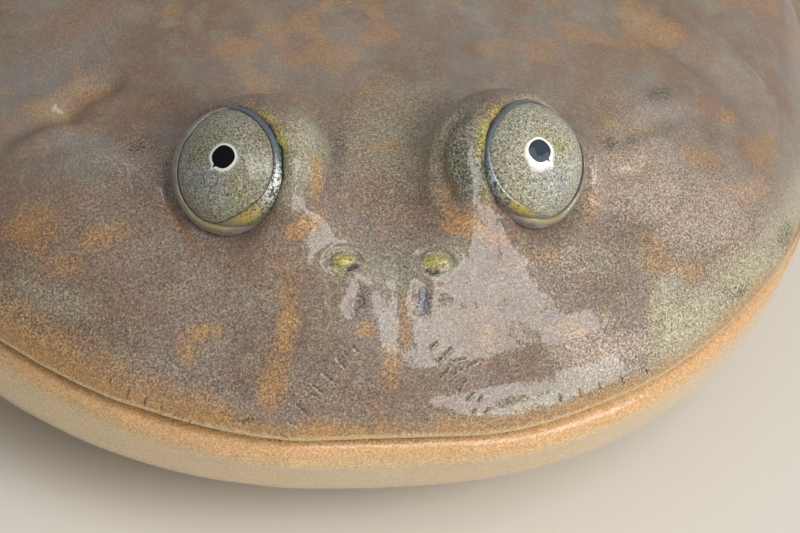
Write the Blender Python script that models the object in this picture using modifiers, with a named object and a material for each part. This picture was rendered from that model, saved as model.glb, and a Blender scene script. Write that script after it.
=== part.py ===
"""A life-size Budgett's frog resting flat, as flesh solids parted by thin cuts, with eyes and spades.

Units are metres and +Z is up. The frog faces -Y, its own left side is +X, and the origin is on the
floor under the belly. Flesh is fused from simple forms, then parted 0.3 mm from its neighbours.
"""

import math

import bmesh
import bpy
import numpy as np
from mathutils import Matrix, Vector

MM = 0.001
GAP = 0.3 * MM
SHORTEST_EDGE = 0.004 * MM
LEFT = 1
RIGHT = -1
SIDE_NAMES = {LEFT: "left", RIGHT: "right"}

# Whole animal
SNOUT_VENT = 108.0 * MM
SNOUT_Y = -56.0 * MM
NECK_FROM_SNOUT = 40.0 * MM
MOUTH_CORNER_FROM_SNOUT = 36.0 * MM
# Blocks that reach past the animal on every side
BLOCK_HALF_WIDTH = 60.0 * MM
BLOCK_TOP = 60.0 * MM
BLOCK_MARGIN = 4.0 * MM

# Body rings in mm: distance from the snout, half width, crown, widest level, underside,
# and the fullness (superellipse exponent) of the upper and the lower half
BODY_RINGS = (
    (0.0, 0.0, 11.5, 11.5, 11.5, 2.0, 2.0),
    (1.5, 9.4, 16.4, 11.5, 7.6, 2.0, 2.1),
    (4.0, 15.0, 19.3, 11.6, 4.8, 2.0, 2.3),
    (8.0, 20.3, 21.4, 11.8, 2.8, 2.1, 2.4),
    (14.0, 25.2, 22.9, 12.0, 1.4, 2.2, 2.5),
    (22.0, 29.0, 24.6, 12.0, 0.8, 2.3, 2.6),
    (32.0, 31.3, 27.3, 11.8, 0.4, 2.3, 2.8),
    (41.0, 33.0, 29.8, 11.5, -0.2, 2.2, 3.0),
    (53.0, 36.5, 32.6, 12.0, -0.8, 2.1, 3.0),
    (67.0, 40.6, 34.4, 12.5, -0.8, 2.1, 3.0),
    (78.0, 40.2, 33.8, 12.5, -0.8, 2.1, 3.0),
    (89.0, 36.0, 30.4, 12.0, -0.6, 2.1, 2.8),
    (97.0, 29.5, 25.4, 11.5, 0.8, 2.1, 2.5),
    (103.5, 20.0, 19.5, 11.0, 4.0, 2.0, 2.2),
    (108.0, 0.0, 11.5, 11.5, 11.5, 2.0, 2.0),
)
BODY_STATIONS = 120
BODY_RING_POINTS = 144

# Line of the mouth: its height in mm at distances in mm from the snout
MOUTH_LINE = (
    (-4.0, 11.4),
    (2.0, 11.5),
    (8.0, 12.1),
    (18.0, 12.2),
    (28.0, 11.3),
    (36.0, 10.2),
    (44.0, 9.4),
)
MOUTH_CUT_STEPS = 22
LIP_RADIUS = 1.1 * MM
LIP_STEPS = 24
# The lips' roll sinks in fully this far out from the midline
LIP_EASE = 12.0 * MM
UPPER_LIP = {"rise": 1.15 * MM, "proud": 0.45 * MM}
LOWER_LIP = {"rise": -1.25 * MM, "proud": 0.14 * MM}

# Eyes
EYE_LATERAL = 8.0 * MM
EYE_FROM_SNOUT = 10.6 * MM
EYE_HEIGHT = 22.9 * MM
EYE_RADIUS = 3.6 * MM
# Each eye's opening faces out, ahead and up, the right eye a little more ahead
EYE_OPENING = {LEFT: Vector((0.68, -0.49, 0.55)), RIGHT: Vector((-0.57, -0.59, 0.57))}
LID_RIM_AHEAD = {LEFT: 0.85 * MM, RIGHT: 1.25 * MM}
LID_ROLL = 0.33 * MM
LID_RIM_STEPS = 26
# The raised flesh round an eye: radii, how far inward, back and up from the eyeball's centre
EYE_FORMS = (
    (Vector((4.5, 4.5, 4.2)) * MM, Vector((0.8, 0.3, 0.0)) * MM),
    (Vector((6.0, 6.4, 4.0)) * MM, Vector((1.5, 0.4, -2.8)) * MM),
)

# Nostrils
NOSTRIL_LATERAL = 2.5 * MM
NOSTRIL_FROM_SNOUT = 5.3 * MM
NOSTRIL_LEAN_AHEAD = math.radians(32)
NOSTRIL_LEAN_OUT = math.radians(18)
NOSTRIL_RIM_RADII = Vector((1.0, 0.8, 0.75)) * MM
NOSTRIL_PIT_RADII = Vector((0.42, 0.55, 1.1)) * MM
NOSTRIL_PIT_OFFSET = Vector((-0.15, 0.0, 0.5)) * MM

# Limbs as chains of rounds in mm: out from the midline, from the snout, height, radius
LIMBS = {
    "upper_arm": ((27.0, 49.0, 11.5, 6.6), (34.3, 52.0, 9.9, 5.6), (41.5, 55.0, 8.2, 4.7)),
    "forearm": ((41.5, 54.0, 7.8, 4.2), (42.3, 49.8, 6.9, 4.4), (42.0, 42.0, 3.6, 2.7)),
    "thigh": ((20.0, 92.0, 13.5, 11.0), (33.0, 82.0, 12.8, 11.0), (46.0, 72.0, 10.2, 7.6)),
    "shank": ((46.6, 73.6, 8.8, 6.2), (40.6, 84.0, 8.0, 6.8), (29.5, 101.0, 5.2, 3.7)),
}

# Soft pads press this far into the floor, which leaves the flats they rest on
PRESS = 0.2 * MM

# Hands: turned out from straight ahead, in degrees, with slender free fingers
HAND_TURN = {LEFT: 16.0, RIGHT: 6.0}
PALM_FROM_WRIST = 3.4 * MM
PALM_RADII = Vector((3.7, 4.0, 1.9)) * MM
WRIST_RADIUS = 2.6 * MM
# Each finger: heading in degrees out from the hand's line, length and root radius in mm
FINGERS = ((-42.0, 8.2, 1.25), (-12.0, 8.6, 1.2), (16.0, 11.0, 1.25), (48.0, 8.6, 1.2))
FINGER_START = 2.0 * MM
FINGER_ARCH = 0.75 * MM

# Feet: tarsus from the ankle, then five toes joined by a web
TARSUS_LENGTH = 13.0 * MM
TARSUS_TURN = {LEFT: 76.0, RIGHT: 68.0}
TARSUS_RADII = (3.5 * MM, 3.3 * MM, 2.4 * MM)
SOLE_HEIGHT = 2.0 * MM
# Each toe: heading in degrees out from the tarsus line, length and root radius in mm
TOES = (
    (-46.0, 10.0, 1.35),
    (-27.0, 14.5, 1.35),
    (-8.0, 20.0, 1.4),
    (12.0, 25.5, 1.4),
    (33.0, 18.5, 1.35),
)
TOE_START = 1.2 * MM
TOE_ARCH = 0.55 * MM
DIGIT_ROOT_HEIGHT = 1.5 * MM
DIGIT_TAPER = (1.0, 0.88, 0.62)
WEB_REACH = 0.92
WEB_SCALLOP = 0.74
WEB_STEPS = 7
WEB_HEEL = 5.0 * MM
WEB_THICKNESS = 0.9 * MM
WEB_HEIGHT = 0.55 * MM

# Digging spade on the inner heel of each foot
SPADE_RADII = Vector((2.7, 1.15, 1.35)) * MM
SPADE_TURN = -100.0
SPADE_FROM_SOLE = 3.3 * MM
SPADE_HEIGHT = 1.5 * MM

# Fineness of each fused flesh: voxel, and triangles kept before the cuts
FUSE = {
    "body": (0.5 * MM, 24000),
    "upper_arm": (0.5 * MM, 190),
    "forearm": (0.5 * MM, 200),
    "hand": (0.35 * MM, 640),
    "thigh": (0.6 * MM, 340),
    "shank": (0.5 * MM, 260),
    "foot": (0.38 * MM, 900),
}
TRUNK_TRIANGLES = {"head": 3400, "lower_jaw": 1150, "torso": 2300}

# Each finish: linear colour and roughness
LOOKS = {
    "skin": ((0.25, 0.19, 0.145, 1.0), 0.35),
    "jaw": ((0.62, 0.44, 0.27, 1.0), 0.38),
    "iris": ((0.33, 0.31, 0.25, 1.0), 0.12),
    "spade": ((0.012, 0.011, 0.010, 1.0), 0.3),
}


def clear_scene():
    """Removes what the start-up file holds."""
    for obj in list(bpy.data.objects):
        bpy.data.objects.remove(obj, do_unlink=True)


def new_collection(name):
    """A collection under the scene's own."""
    made = bpy.data.collections.new(name)
    bpy.context.scene.collection.children.link(made)
    return made


def material(name, colour, roughness):
    """A Principled surface with one colour."""
    made = bpy.data.materials.new(name)
    made.use_nodes = True
    shader = made.node_tree.nodes["Principled BSDF"]
    shader.inputs["Base Color"].default_value = colour
    shader.inputs["Roughness"].default_value = roughness
    shader.inputs["Metallic"].default_value = 0.0
    return made


def chain(side, limb):
    """A limb's rounds on one side, as points and radii in metres."""
    points = [Vector((side * out * MM, SNOUT_Y + back * MM, up * MM)) for out, back, up, _ in LIMBS[limb]]
    return points, [radius * MM for *_, radius in LIMBS[limb]]


def smooth_through(keys, at):
    """Cubic Hermite values at `at` through rows of keys whose first column is the station."""
    keys = np.asarray(keys, float)
    x = keys[:, 0]
    y = keys[:, 1:]
    slope = np.gradient(y, x, axis=0)
    at = np.clip(np.atleast_1d(at), x[0], x[-1])
    span = np.clip(np.searchsorted(x, at, side="right") - 1, 0, len(x) - 2)
    width = (x[span + 1] - x[span])[:, None]
    t = (at - x[span])[:, None] / width
    start = (1 + 2 * t) * (1 - t) ** 2 * y[span] + t * (1 - t) ** 2 * width * slope[span]
    end = t**2 * (3 - 2 * t) * y[span + 1] + t**2 * (t - 1) * width * slope[span + 1]
    return start + end


def turn_along(back):
    """Distance from the snout as an angle from 0 to pi, which rounds both ends of the body."""
    return np.arccos(1 - 2 * np.clip(back / SNOUT_VENT, 0, 1))


def body_ring(back):
    """Half width, crown, widest level, underside and both fullnesses at a distance from the snout."""
    keys = np.array(BODY_RINGS)
    angles = turn_along(keys[:, 0] * MM)
    return smooth_through(np.column_stack([angles, keys[:, 1:]]), turn_along(back))[0]


def mouth_height(back):
    """Height of the mouth's line at a distance from the snout."""
    return float(smooth_through(MOUTH_LINE, back / MM)[0, 0]) * MM


def crown_height(back, lateral):
    """Height of the body's upper surface over a point."""
    half, crown, level, _, full, _ = body_ring(back)
    share = min(1.0, abs(lateral) / (half * MM))
    return (level + (crown - level) * (1 - share**full) ** (1 / full)) * MM


def add_object(name, mesh, collection):
    """Links a new object for the mesh."""
    obj = bpy.data.objects.new(name, mesh)
    collection.objects.link(obj)
    return obj


def mesh_object(name, bm, collection):
    """Turns a bmesh into an object."""
    mesh = bpy.data.meshes.new(name)
    bm.to_mesh(mesh)
    bm.free()
    return add_object(name, mesh, collection)


def ellipsoid(centre, radii, turn=None, segments=40, rings=24):
    """A sphere stretched to three radii, in the working collection."""
    bm = bmesh.new()
    bmesh.ops.create_uvsphere(bm, u_segments=segments, v_segments=rings, radius=1.0)
    shape = Matrix.Diagonal((*radii, 1.0))
    if turn is not None:
        shape = turn.to_4x4() @ shape
    bm.transform(Matrix.Translation(centre) @ shape)
    return mesh_object("ellipsoid", bm, WORK)


def tube(points, radii):
    """A tapering round tube with round ends through points, with a radius at each."""
    curve = bpy.data.curves.new("tube", "CURVE")
    curve.dimensions = "3D"
    curve.bevel_depth = 1.0
    curve.bevel_resolution = 4
    curve.resolution_u = 8
    curve.use_fill_caps = True
    spline = curve.splines.new("NURBS")
    spline.points.add(len(points) - 1)
    spline.use_endpoint_u = True
    spline.order_u = 3
    for knot, point, radius in zip(spline.points, points, radii):
        knot.co = (*point, 1.0)
        knot.radius = radius
    made = as_mesh(add_object("tube", curve, WORK))
    ends = [ellipsoid(points[i], Vector((1, 1, 1)) * radii[i], None, 24, 14) for i in (0, -1)]
    return [made, *ends]


def as_mesh(obj):
    """Replaces an object by a mesh object of what the viewport shows, with its ends welded."""
    graph = bpy.context.evaluated_depsgraph_get()
    mesh = bpy.data.meshes.new_from_object(obj.evaluated_get(graph))
    made = add_object(obj.name, mesh, WORK)
    made.matrix_world = obj.matrix_world.copy()
    bpy.data.objects.remove(obj, do_unlink=True)
    bm = bmesh.new()
    bm.from_mesh(mesh)
    bmesh.ops.remove_doubles(bm, verts=bm.verts, dist=1e-6)
    bm.to_mesh(mesh)
    bm.free()
    return made


def settle(obj):
    """Applies an object's modifiers."""
    bpy.context.view_layer.update()
    graph = bpy.context.evaluated_depsgraph_get()
    mesh = bpy.data.meshes.new_from_object(obj.evaluated_get(graph))
    obj.modifiers.clear()
    obj.data = mesh


def triangulate(obj):
    """Splits every face to triangles and closes edges too short to matter."""
    bm = bmesh.new()
    bm.from_mesh(obj.data)
    bmesh.ops.triangulate(bm, faces=bm.faces)
    bmesh.ops.dissolve_degenerate(bm, dist=SHORTEST_EDGE, edges=bm.edges)
    bmesh.ops.triangulate(bm, faces=bm.faces)
    bm.to_mesh(obj.data)
    bm.free()


def thin(obj, triangles):
    """Thins a mesh to about a number of triangles."""
    triangulate(obj)
    collapse = obj.modifiers.new("collapse", "DECIMATE")
    collapse.ratio = min(1.0, triangles / len(obj.data.polygons))
    settle(obj)


def fuse(kind, pieces, relax=4):
    """One smooth closed flesh from overlapping pieces, which are removed."""
    voxel, triangles = FUSE[kind]
    bm = bmesh.new()
    for piece in pieces:
        part = piece.data.copy()
        part.transform(piece.matrix_world)
        bm.from_mesh(part)
        bpy.data.objects.remove(piece, do_unlink=True)
    obj = mesh_object(kind, bm, WORK)
    remesh = obj.modifiers.new("flesh", "REMESH")
    remesh.mode = "VOXEL"
    remesh.voxel_size = voxel
    soften = obj.modifiers.new("soften", "SMOOTH")
    soften.factor = 0.5
    soften.iterations = relax
    settle(obj)
    thin(obj, triangles)
    return obj


def boolean(obj, other, operation, solver="EXACT"):
    """Applies one Boolean."""
    step = obj.modifiers.new("boolean", "BOOLEAN")
    step.solver = solver
    step.operation = operation
    step.object = other
    if solver == "EXACT":
        step.use_self = True
    settle(obj)


def carve(obj, *steps):
    """Unions and cuts of small forms that run close together, which the exact solver leaves open."""
    for other, operation in steps:
        boolean(obj, other, operation, "MANIFOLD")
        bpy.data.objects.remove(other, do_unlink=True)


def keep_largest(obj):
    """Drops every loose scrap, leaving the largest closed surface."""
    bm = bmesh.new()
    bm.from_mesh(obj.data)
    bmesh.ops.remove_doubles(bm, verts=bm.verts, dist=2e-6)
    left = set(bm.verts)
    bodies = []
    while left:
        body = {left.pop()}
        edge = list(body)
        while edge:
            near = {e.other_vert(v) for v in edge for e in v.link_edges} - body
            body |= near
            edge = list(near)
        left -= body
        bodies.append(body)
    kept = max(bodies, key=len)
    bmesh.ops.delete(bm, geom=[v for v in bm.verts if v not in kept], context="VERTS")
    bmesh.ops.triangulate(bm, faces=bm.faces)
    bm.to_mesh(obj.data)
    bm.free()


def grown(obj, by):
    """A working copy whose surface stands off by a distance."""
    copy = add_object("grown", obj.data.copy(), WORK)
    push = copy.modifiers.new("push", "DISPLACE")
    push.strength = by
    push.mid_level = 0.0
    settle(copy)
    return copy


def part_from(child, *parents):
    """Cuts a child back to stand a gap away from each parent."""
    for parent in parents:
        cutter = grown(parent, GAP)
        boolean(child, cutter, "DIFFERENCE")
        bpy.data.objects.remove(cutter, do_unlink=True)
    keep_largest(child)


def floor_cut(obj):
    """Cuts flesh level with the floor, which leaves small flats to rest on."""
    bm = bmesh.new()
    bmesh.ops.create_cube(bm, size=SNOUT_VENT * 3)
    bm.transform(Matrix.Translation((0, 0, -SNOUT_VENT * 1.5)))
    floor = mesh_object("floor", bm, WORK)
    boolean(obj, floor, "DIFFERENCE")
    bpy.data.objects.remove(floor, do_unlink=True)


def finish(obj, name, look):
    """Names a node, shades it smooth, gives its material and files it with the frog."""
    for owner in list(obj.users_collection):
        owner.objects.unlink(obj)
    FROG.objects.link(obj)
    obj.name = name
    obj.data.name = name
    obj.data.materials.clear()
    obj.data.materials.append(look)
    obj.data.shade_smooth()
    return obj


def body_loft():
    """Head and trunk as one loft of superellipse rings from snout to vent."""
    bm = bmesh.new()
    rows = []
    for i in range(1, BODY_STATIONS):
        back = SNOUT_VENT * (1 - math.cos(math.pi * i / BODY_STATIONS)) / 2
        half, crown, level, under, upper_full, lower_full = body_ring(back)
        row = []
        for k in range(BODY_RING_POINTS):
            angle = 2 * math.pi * k / BODY_RING_POINTS
            full = upper_full if math.sin(angle) >= 0 else lower_full
            reach = (crown - level) if math.sin(angle) >= 0 else (level - under)
            x = half * math.copysign(abs(math.cos(angle)) ** (2 / full), math.cos(angle))
            z = level + reach * math.copysign(abs(math.sin(angle)) ** (2 / full), math.sin(angle))
            row.append(bm.verts.new((x * MM, SNOUT_Y + back, z * MM)))
        rows.append(row)
    for here, after in zip(rows, rows[1:]):
        for k in range(BODY_RING_POINTS):
            n = (k + 1) % BODY_RING_POINTS
            bm.faces.new((here[k], here[n], after[n], after[k]))
    for row, back in ((rows[0], 0.0), (rows[-1], SNOUT_VENT)):
        tip = bm.verts.new((0, SNOUT_Y + back, BODY_RINGS[0][2] * MM))
        for k in range(BODY_RING_POINTS):
            bm.faces.new((tip, row[k], row[(k + 1) % BODY_RING_POINTS]))
    bmesh.ops.recalc_face_normals(bm, faces=bm.faces)
    return mesh_object("body_loft", bm, WORK)


def half_width(back, height):
    """How far out the body's surface stands at a distance from the snout and a height."""
    half, crown, level, under, upper_full, lower_full = body_ring(back)
    up = height / MM - level
    full, reach = (upper_full, crown - level) if up >= 0 else (lower_full, level - under)
    share = min(1.0, abs(up) / max(reach, 0.001))
    return half * MM * (1 - share**full) ** (1 / full)


def lip(rise, proud):
    """A rolled lip along the line of the mouth from corner to corner, standing out by `proud`."""
    points = []
    radii = []
    sunk = LIP_RADIUS - proud
    for i in range(-LIP_STEPS, LIP_STEPS + 1):
        back = MOUTH_CORNER_FROM_SNOUT * (1 - math.cos(math.pi / 2 * i / LIP_STEPS))
        height = mouth_height(back) + rise
        out = half_width(back, height)
        inset = sunk * min(1.0, out / LIP_EASE)
        points.append(Vector((math.copysign(out - inset, i), SNOUT_Y + max(back, sunk), height)))
        radii.append(LIP_RADIUS * (1 + math.cos(math.pi / 2 * i / (LIP_STEPS + 1)) ** 0.5) / 2)
    points[LIP_STEPS].x = 0.0
    return tube(points, radii)


def eye_centre(side):
    """Centre of an eyeball."""
    return Vector((side * EYE_LATERAL, SNOUT_Y + EYE_FROM_SNOUT, EYE_HEIGHT))


def eye_axis(side):
    """The way an eye's opening faces."""
    return EYE_OPENING[side].normalized()


def eye_forms(side):
    """The raised flesh round an eye: the dome of the lids on a soft pedestal."""
    centre = eye_centre(side)
    return [
        ellipsoid(centre + Vector((-side * inward, back, up)), radii)
        for radii, (inward, back, up) in EYE_FORMS
    ]


def open_eye(head, side):
    """Cuts an eyeball's socket and the lids' opening into the head, with a rolled lid rim."""
    ahead = LID_RIM_AHEAD[side]
    turn = eye_axis(side).to_track_quat("Z", "Y").to_matrix()
    lids = Matrix.Translation(eye_centre(side) + eye_axis(side) * ahead) @ turn.to_4x4()
    wide = EYE_RADIUS * 1.6
    bm = bmesh.new()
    bmesh.ops.create_cone(bm, cap_ends=True, segments=32, radius1=wide, radius2=wide, depth=wide * 2)
    bm.transform(lids @ Matrix.Translation((0, 0, wide)))
    opening = mesh_object("opening", bm, WORK)
    # The socket trims the inner side of the rim's roll
    rim_radius = math.sqrt((EYE_RADIUS + GAP + LID_ROLL * 0.5) ** 2 - ahead**2)
    rim = ring_tube(lids @ Matrix.Translation((0, 0, -LID_ROLL * 0.25)), rim_radius, LID_ROLL)
    socket = ellipsoid(eye_centre(side), Vector((1, 1, 1)) * (EYE_RADIUS + GAP), turn, 26, 16)
    carve(head, (opening, "DIFFERENCE"), (rim, "UNION"), (socket, "DIFFERENCE"))


def ring_tube(frame, radius, thickness):
    """A closed round ring in a frame's own level plane."""
    curve = bpy.data.curves.new("ring", "CURVE")
    curve.dimensions = "3D"
    curve.bevel_depth = thickness
    curve.bevel_resolution = 1
    spline = curve.splines.new("POLY")
    spline.points.add(LID_RIM_STEPS - 1)
    spline.use_cyclic_u = True
    for i, knot in enumerate(spline.points):
        angle = 2 * math.pi * i / LID_RIM_STEPS
        knot.co = (*(frame @ Vector((math.cos(angle) * radius, math.sin(angle) * radius, 0))), 1.0)
    return as_mesh(add_object("ring", curve, WORK))


def open_nostril(head, side):
    """Raises a nostril's rim on the snout and cuts its pit."""
    height = crown_height(NOSTRIL_FROM_SNOUT, NOSTRIL_LATERAL)
    seat = Vector((side * NOSTRIL_LATERAL, SNOUT_Y + NOSTRIL_FROM_SNOUT, height))
    lean = Matrix.Rotation(NOSTRIL_LEAN_AHEAD, 3, "X") @ Matrix.Rotation(side * NOSTRIL_LEAN_OUT, 3, "Y")
    inward, back, up = NOSTRIL_PIT_OFFSET
    rim = ellipsoid(seat, NOSTRIL_RIM_RADII, lean, 16, 10)
    pit = ellipsoid(seat + lean @ Vector((side * inward, back, up)), NOSTRIL_PIT_RADII, lean, 12, 8)
    carve(head, (rim, "UNION"), (pit, "DIFFERENCE"))


def plate(name, outline, thickness):
    """A flat curve filled over an outline, with a thickness."""
    curve = bpy.data.curves.new(name, "CURVE")
    curve.dimensions = "2D"
    curve.fill_mode = "BOTH"
    curve.extrude = thickness / 2
    spline = curve.splines.new("POLY")
    spline.points.add(len(outline) - 1)
    spline.use_cyclic_u = True
    for knot, (x, y) in zip(spline.points, outline):
        knot.co = (x, y, 0, 1.0)
    return add_object(name, curve, WORK)


def region(name, outline):
    """A block over an outline in the side view, given as (from the snout, height) points."""
    outline = [(SNOUT_Y + back, height) for back, height in outline]
    block = plate(name, outline, BLOCK_HALF_WIDTH * 2)
    # The curve's own X and Y become the side view's Y and Z
    block.matrix_world = Matrix(((0, 0, 1, 0), (1, 0, 0, 0), (0, 1, 0, 0), (0, 0, 0, 1)))
    bpy.context.view_layer.update()
    return as_mesh(block)


def side_view_blocks():
    """Blocks that part head, lower jaw and torso: a wavy cut at the mouth, a straight one at the neck."""
    front = -BLOCK_MARGIN
    rear = SNOUT_VENT + BLOCK_MARGIN
    nape = NECK_FROM_SNOUT - GAP / 2
    breast = NECK_FROM_SNOUT + GAP / 2
    cut = [front + (nape - front) * i / MOUTH_CUT_STEPS for i in range(MOUTH_CUT_STEPS + 1)]
    upper = [(back, mouth_height(back) + GAP / 2) for back in cut]
    lower = [(back, mouth_height(back) - GAP / 2) for back in reversed(cut)]
    return {
        "head": region("head_block", [*upper, (nape, BLOCK_TOP), (front, BLOCK_TOP)]),
        "lower_jaw": region("jaw_block", [*lower, (front, 0.0), (nape, 0.0)]),
        "torso": region("torso_block", [(breast, 0.0), (rear, 0.0), (rear, BLOCK_TOP), (breast, BLOCK_TOP)]),
    }


def trunk_nodes(skin, jaw):
    """Head, lower jaw and torso, parted from one fused body."""
    pieces = [body_loft(), *lip(**UPPER_LIP), *lip(**LOWER_LIP), *eye_forms(LEFT), *eye_forms(RIGHT)]
    body = fuse("body", pieces)
    made = {}
    for name, block in side_view_blocks().items():
        made[name] = add_object(name, body.data.copy(), WORK)
        boolean(made[name], block, "INTERSECT")
        thin(made[name], TRUNK_TRIANGLES[name])
    for side in (LEFT, RIGHT):
        open_eye(made["head"], side)
        open_nostril(made["head"], side)
    for name, part in made.items():
        keep_largest(part)
        finish(part, name, jaw if name == "lower_jaw" else skin)
    return made


def eyeball(side, look):
    """An eyeball in its socket."""
    turn = eye_axis(side).to_track_quat("Z", "Y").to_matrix()
    ball = ellipsoid(eye_centre(side), Vector((1, 1, 1)) * EYE_RADIUS, turn, 20, 12)
    return finish(ball, f"eye_{SIDE_NAMES[side]}", look)


def heading(degrees, side):
    """Level unit vector at an angle out from straight ahead (-Y)."""
    angle = math.radians(degrees)
    return Vector((side * math.sin(angle), -math.cos(angle), 0))


def digits(rows, centre, line, side, start, arch):
    """Tapering fingers or toes that arch a little and lie down to their tips."""
    made = []
    for spread, length, radius in rows:
        way = heading(line + spread, side)
        root = centre + way * start
        root.z = DIGIT_ROOT_HEIGHT
        mid = root + way * length * MM / 2
        mid.z = DIGIT_ROOT_HEIGHT / 2 + arch
        tip = root + way * length * MM
        tip.z = radius * DIGIT_TAPER[-1] * MM - PRESS
        made += tube([root, mid, tip], [radius * share * MM for share in DIGIT_TAPER])
    return made


def limb(name, side):
    """A limb's flesh, flat where it meets the floor."""
    flesh = fuse(name, tube(*chain(side, name)))
    floor_cut(flesh)
    return flesh


def hand(side):
    """Palm and fingers."""
    wrist = chain(side, "forearm")[0][-1]
    palm = wrist + heading(HAND_TURN[side], side) * PALM_FROM_WRIST
    palm.z = PALM_RADII.z - PRESS
    level = Matrix.Rotation(-side * math.radians(HAND_TURN[side]), 3, "Z")
    pieces = [ellipsoid(palm, PALM_RADII, level), *tube([wrist, palm], [WRIST_RADIUS, PALM_RADII.z])]
    pieces += digits(FINGERS, palm, HAND_TURN[side], side, FINGER_START, FINGER_ARCH)
    flesh = fuse("hand", pieces, relax=2)
    floor_cut(flesh)
    return flesh


def sole(side):
    """The point where a foot's toes spring from the tarsus."""
    ankle = chain(side, "shank")[0][-1]
    spot = ankle + heading(TARSUS_TURN[side], side) * TARSUS_LENGTH
    spot.z = SOLE_HEIGHT
    return spot


def web_outline(side):
    """The web's scalloped edge from toe to toe, as points on the floor's plane."""
    line = TARSUS_TURN[side]
    points = [sole(side) - heading(line, side) * WEB_HEEL]
    for (turn_a, length_a, _), (turn_b, length_b, _) in zip(TOES, TOES[1:]):
        for i in range(WEB_STEPS):
            share = i / WEB_STEPS
            dip = 1 - (1 - WEB_SCALLOP) * math.sin(math.pi * share) ** 0.7
            length = (length_a + (length_b - length_a) * share) * MM
            way = heading(line + turn_a + (turn_b - turn_a) * share, side)
            points.append(sole(side) + way * (length * WEB_REACH * dip + TOE_START))
    last_turn, last_length, _ = TOES[-1]
    points.append(sole(side) + heading(line + last_turn, side) * last_length * WEB_REACH * MM)
    return [(point.x, point.y) for point in points]


def foot(side):
    """Tarsus, toes and the membrane between them."""
    ankle = chain(side, "shank")[0][-1]
    line = TARSUS_TURN[side]
    membrane = plate("web", web_outline(side), WEB_THICKNESS)
    membrane.location.z = WEB_HEIGHT
    bpy.context.view_layer.update()
    pieces = [as_mesh(membrane), *tube([ankle, ankle.lerp(sole(side), 0.5), sole(side)], TARSUS_RADII)]
    pieces += digits(TOES, sole(side), line, side, TOE_START, TOE_ARCH)
    flesh = fuse("foot", pieces, relax=2)
    floor_cut(flesh)
    return flesh


def spade(side):
    """The horny digging spade, a half-sunk oval along the inner heel."""
    spot = sole(side) + heading(TARSUS_TURN[side] + SPADE_TURN, side) * SPADE_FROM_SOLE
    spot.z = SPADE_HEIGHT
    along = Matrix.Rotation(side * math.radians(90.0 - TARSUS_TURN[side]), 3, "Z")
    horn = ellipsoid(spot, SPADE_RADII, along, 12, 8)
    floor_cut(horn)
    return horn


def limb_nodes(side, looks, trunk):
    """Arm and leg of one side, each part cut clear of those before it."""
    order = (
        ("upper_arm", limb("upper_arm", side), ("torso",)),
        ("forearm", limb("forearm", side), ("upper_arm", "torso")),
        ("hand", hand(side), ("forearm", "torso", "lower_jaw", "head")),
        ("thigh", limb("thigh", side), ("torso",)),
        ("shank", limb("shank", side), ("thigh", "torso")),
        ("foot", foot(side), ("shank", "thigh", "torso")),
        ("spade", spade(side), ("foot", "thigh", "shank")),
    )
    placed = dict(trunk)
    for name, part, before in order:
        part_from(part, *(placed[other] for other in before))
        look = looks["spade"] if name == "spade" else looks["skin"]
        placed[name] = finish(part, f"{name}_{SIDE_NAMES[side]}", look)


def main():
    """Builds every node."""
    looks = {name: material(name, colour, roughness) for name, (colour, roughness) in LOOKS.items()}
    trunk = trunk_nodes(looks["skin"], looks["jaw"])
    for side in (LEFT, RIGHT):
        eyeball(side, looks["iris"])
        limb_nodes(side, looks, trunk)
    for spare in list(WORK.objects):
        bpy.data.objects.remove(spare, do_unlink=True)


clear_scene()
FROG = new_collection("budgetts_frog")
WORK = new_collection("work")
main()
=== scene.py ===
"""A Budgett's frog at rest: the skin, eyes, lids and spades of a life-size model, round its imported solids."""

import logging
import math
from collections.abc import Iterable, Sequence
from dataclasses import dataclass, field
from enum import Enum
from itertools import product

import bpy
import numpy as np
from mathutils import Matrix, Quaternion, Vector
from mathutils.bvhtree import BVHTree


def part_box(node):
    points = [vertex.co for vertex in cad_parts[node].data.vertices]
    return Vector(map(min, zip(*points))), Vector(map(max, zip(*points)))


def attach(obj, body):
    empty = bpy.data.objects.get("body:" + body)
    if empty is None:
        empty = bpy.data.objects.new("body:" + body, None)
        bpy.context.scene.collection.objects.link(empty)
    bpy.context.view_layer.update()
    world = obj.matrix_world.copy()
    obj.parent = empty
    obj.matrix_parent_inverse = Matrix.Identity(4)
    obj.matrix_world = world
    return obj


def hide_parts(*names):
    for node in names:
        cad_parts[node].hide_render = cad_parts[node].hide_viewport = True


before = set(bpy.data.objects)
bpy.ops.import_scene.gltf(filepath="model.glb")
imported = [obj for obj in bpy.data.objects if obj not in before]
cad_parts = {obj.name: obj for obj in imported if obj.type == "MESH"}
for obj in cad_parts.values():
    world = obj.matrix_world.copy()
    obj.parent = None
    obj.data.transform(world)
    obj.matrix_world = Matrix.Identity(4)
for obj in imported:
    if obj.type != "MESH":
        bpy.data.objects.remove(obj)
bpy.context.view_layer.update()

MM = 0.001
# the tip of the snout, in millimetres
SNOUT_Y = -56.0
# the middle of the left eye; the right eye mirrors it
EYE_CENTRE = (8.0, -45.4, 22.9)
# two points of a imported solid's loose triangles that lie nearer than this are one point, in millimetres
SAME_POINT = 0.002
LOG = logging.getLogger("frog")

Hex = str
Place = tuple[float, float]
Row = tuple[float, float, float, float]
Array = np.ndarray
Arrays = tuple[Array, Array, Array]
Piece = bpy.types.Object
Mesh = bpy.types.Mesh
Finish = bpy.types.Material
Node = bpy.types.Node
Tree = bpy.types.NodeTree
Socket = bpy.types.NodeSocket


class Side(Enum):
    """The frog's own left and right, with the sign of X on that side."""

    LEFT = 1
    RIGHT = -1

    def of(self, kind: str) -> str:
        """Name a piece on this side."""
        return f"{kind}_{self.name.lower()}"


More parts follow.
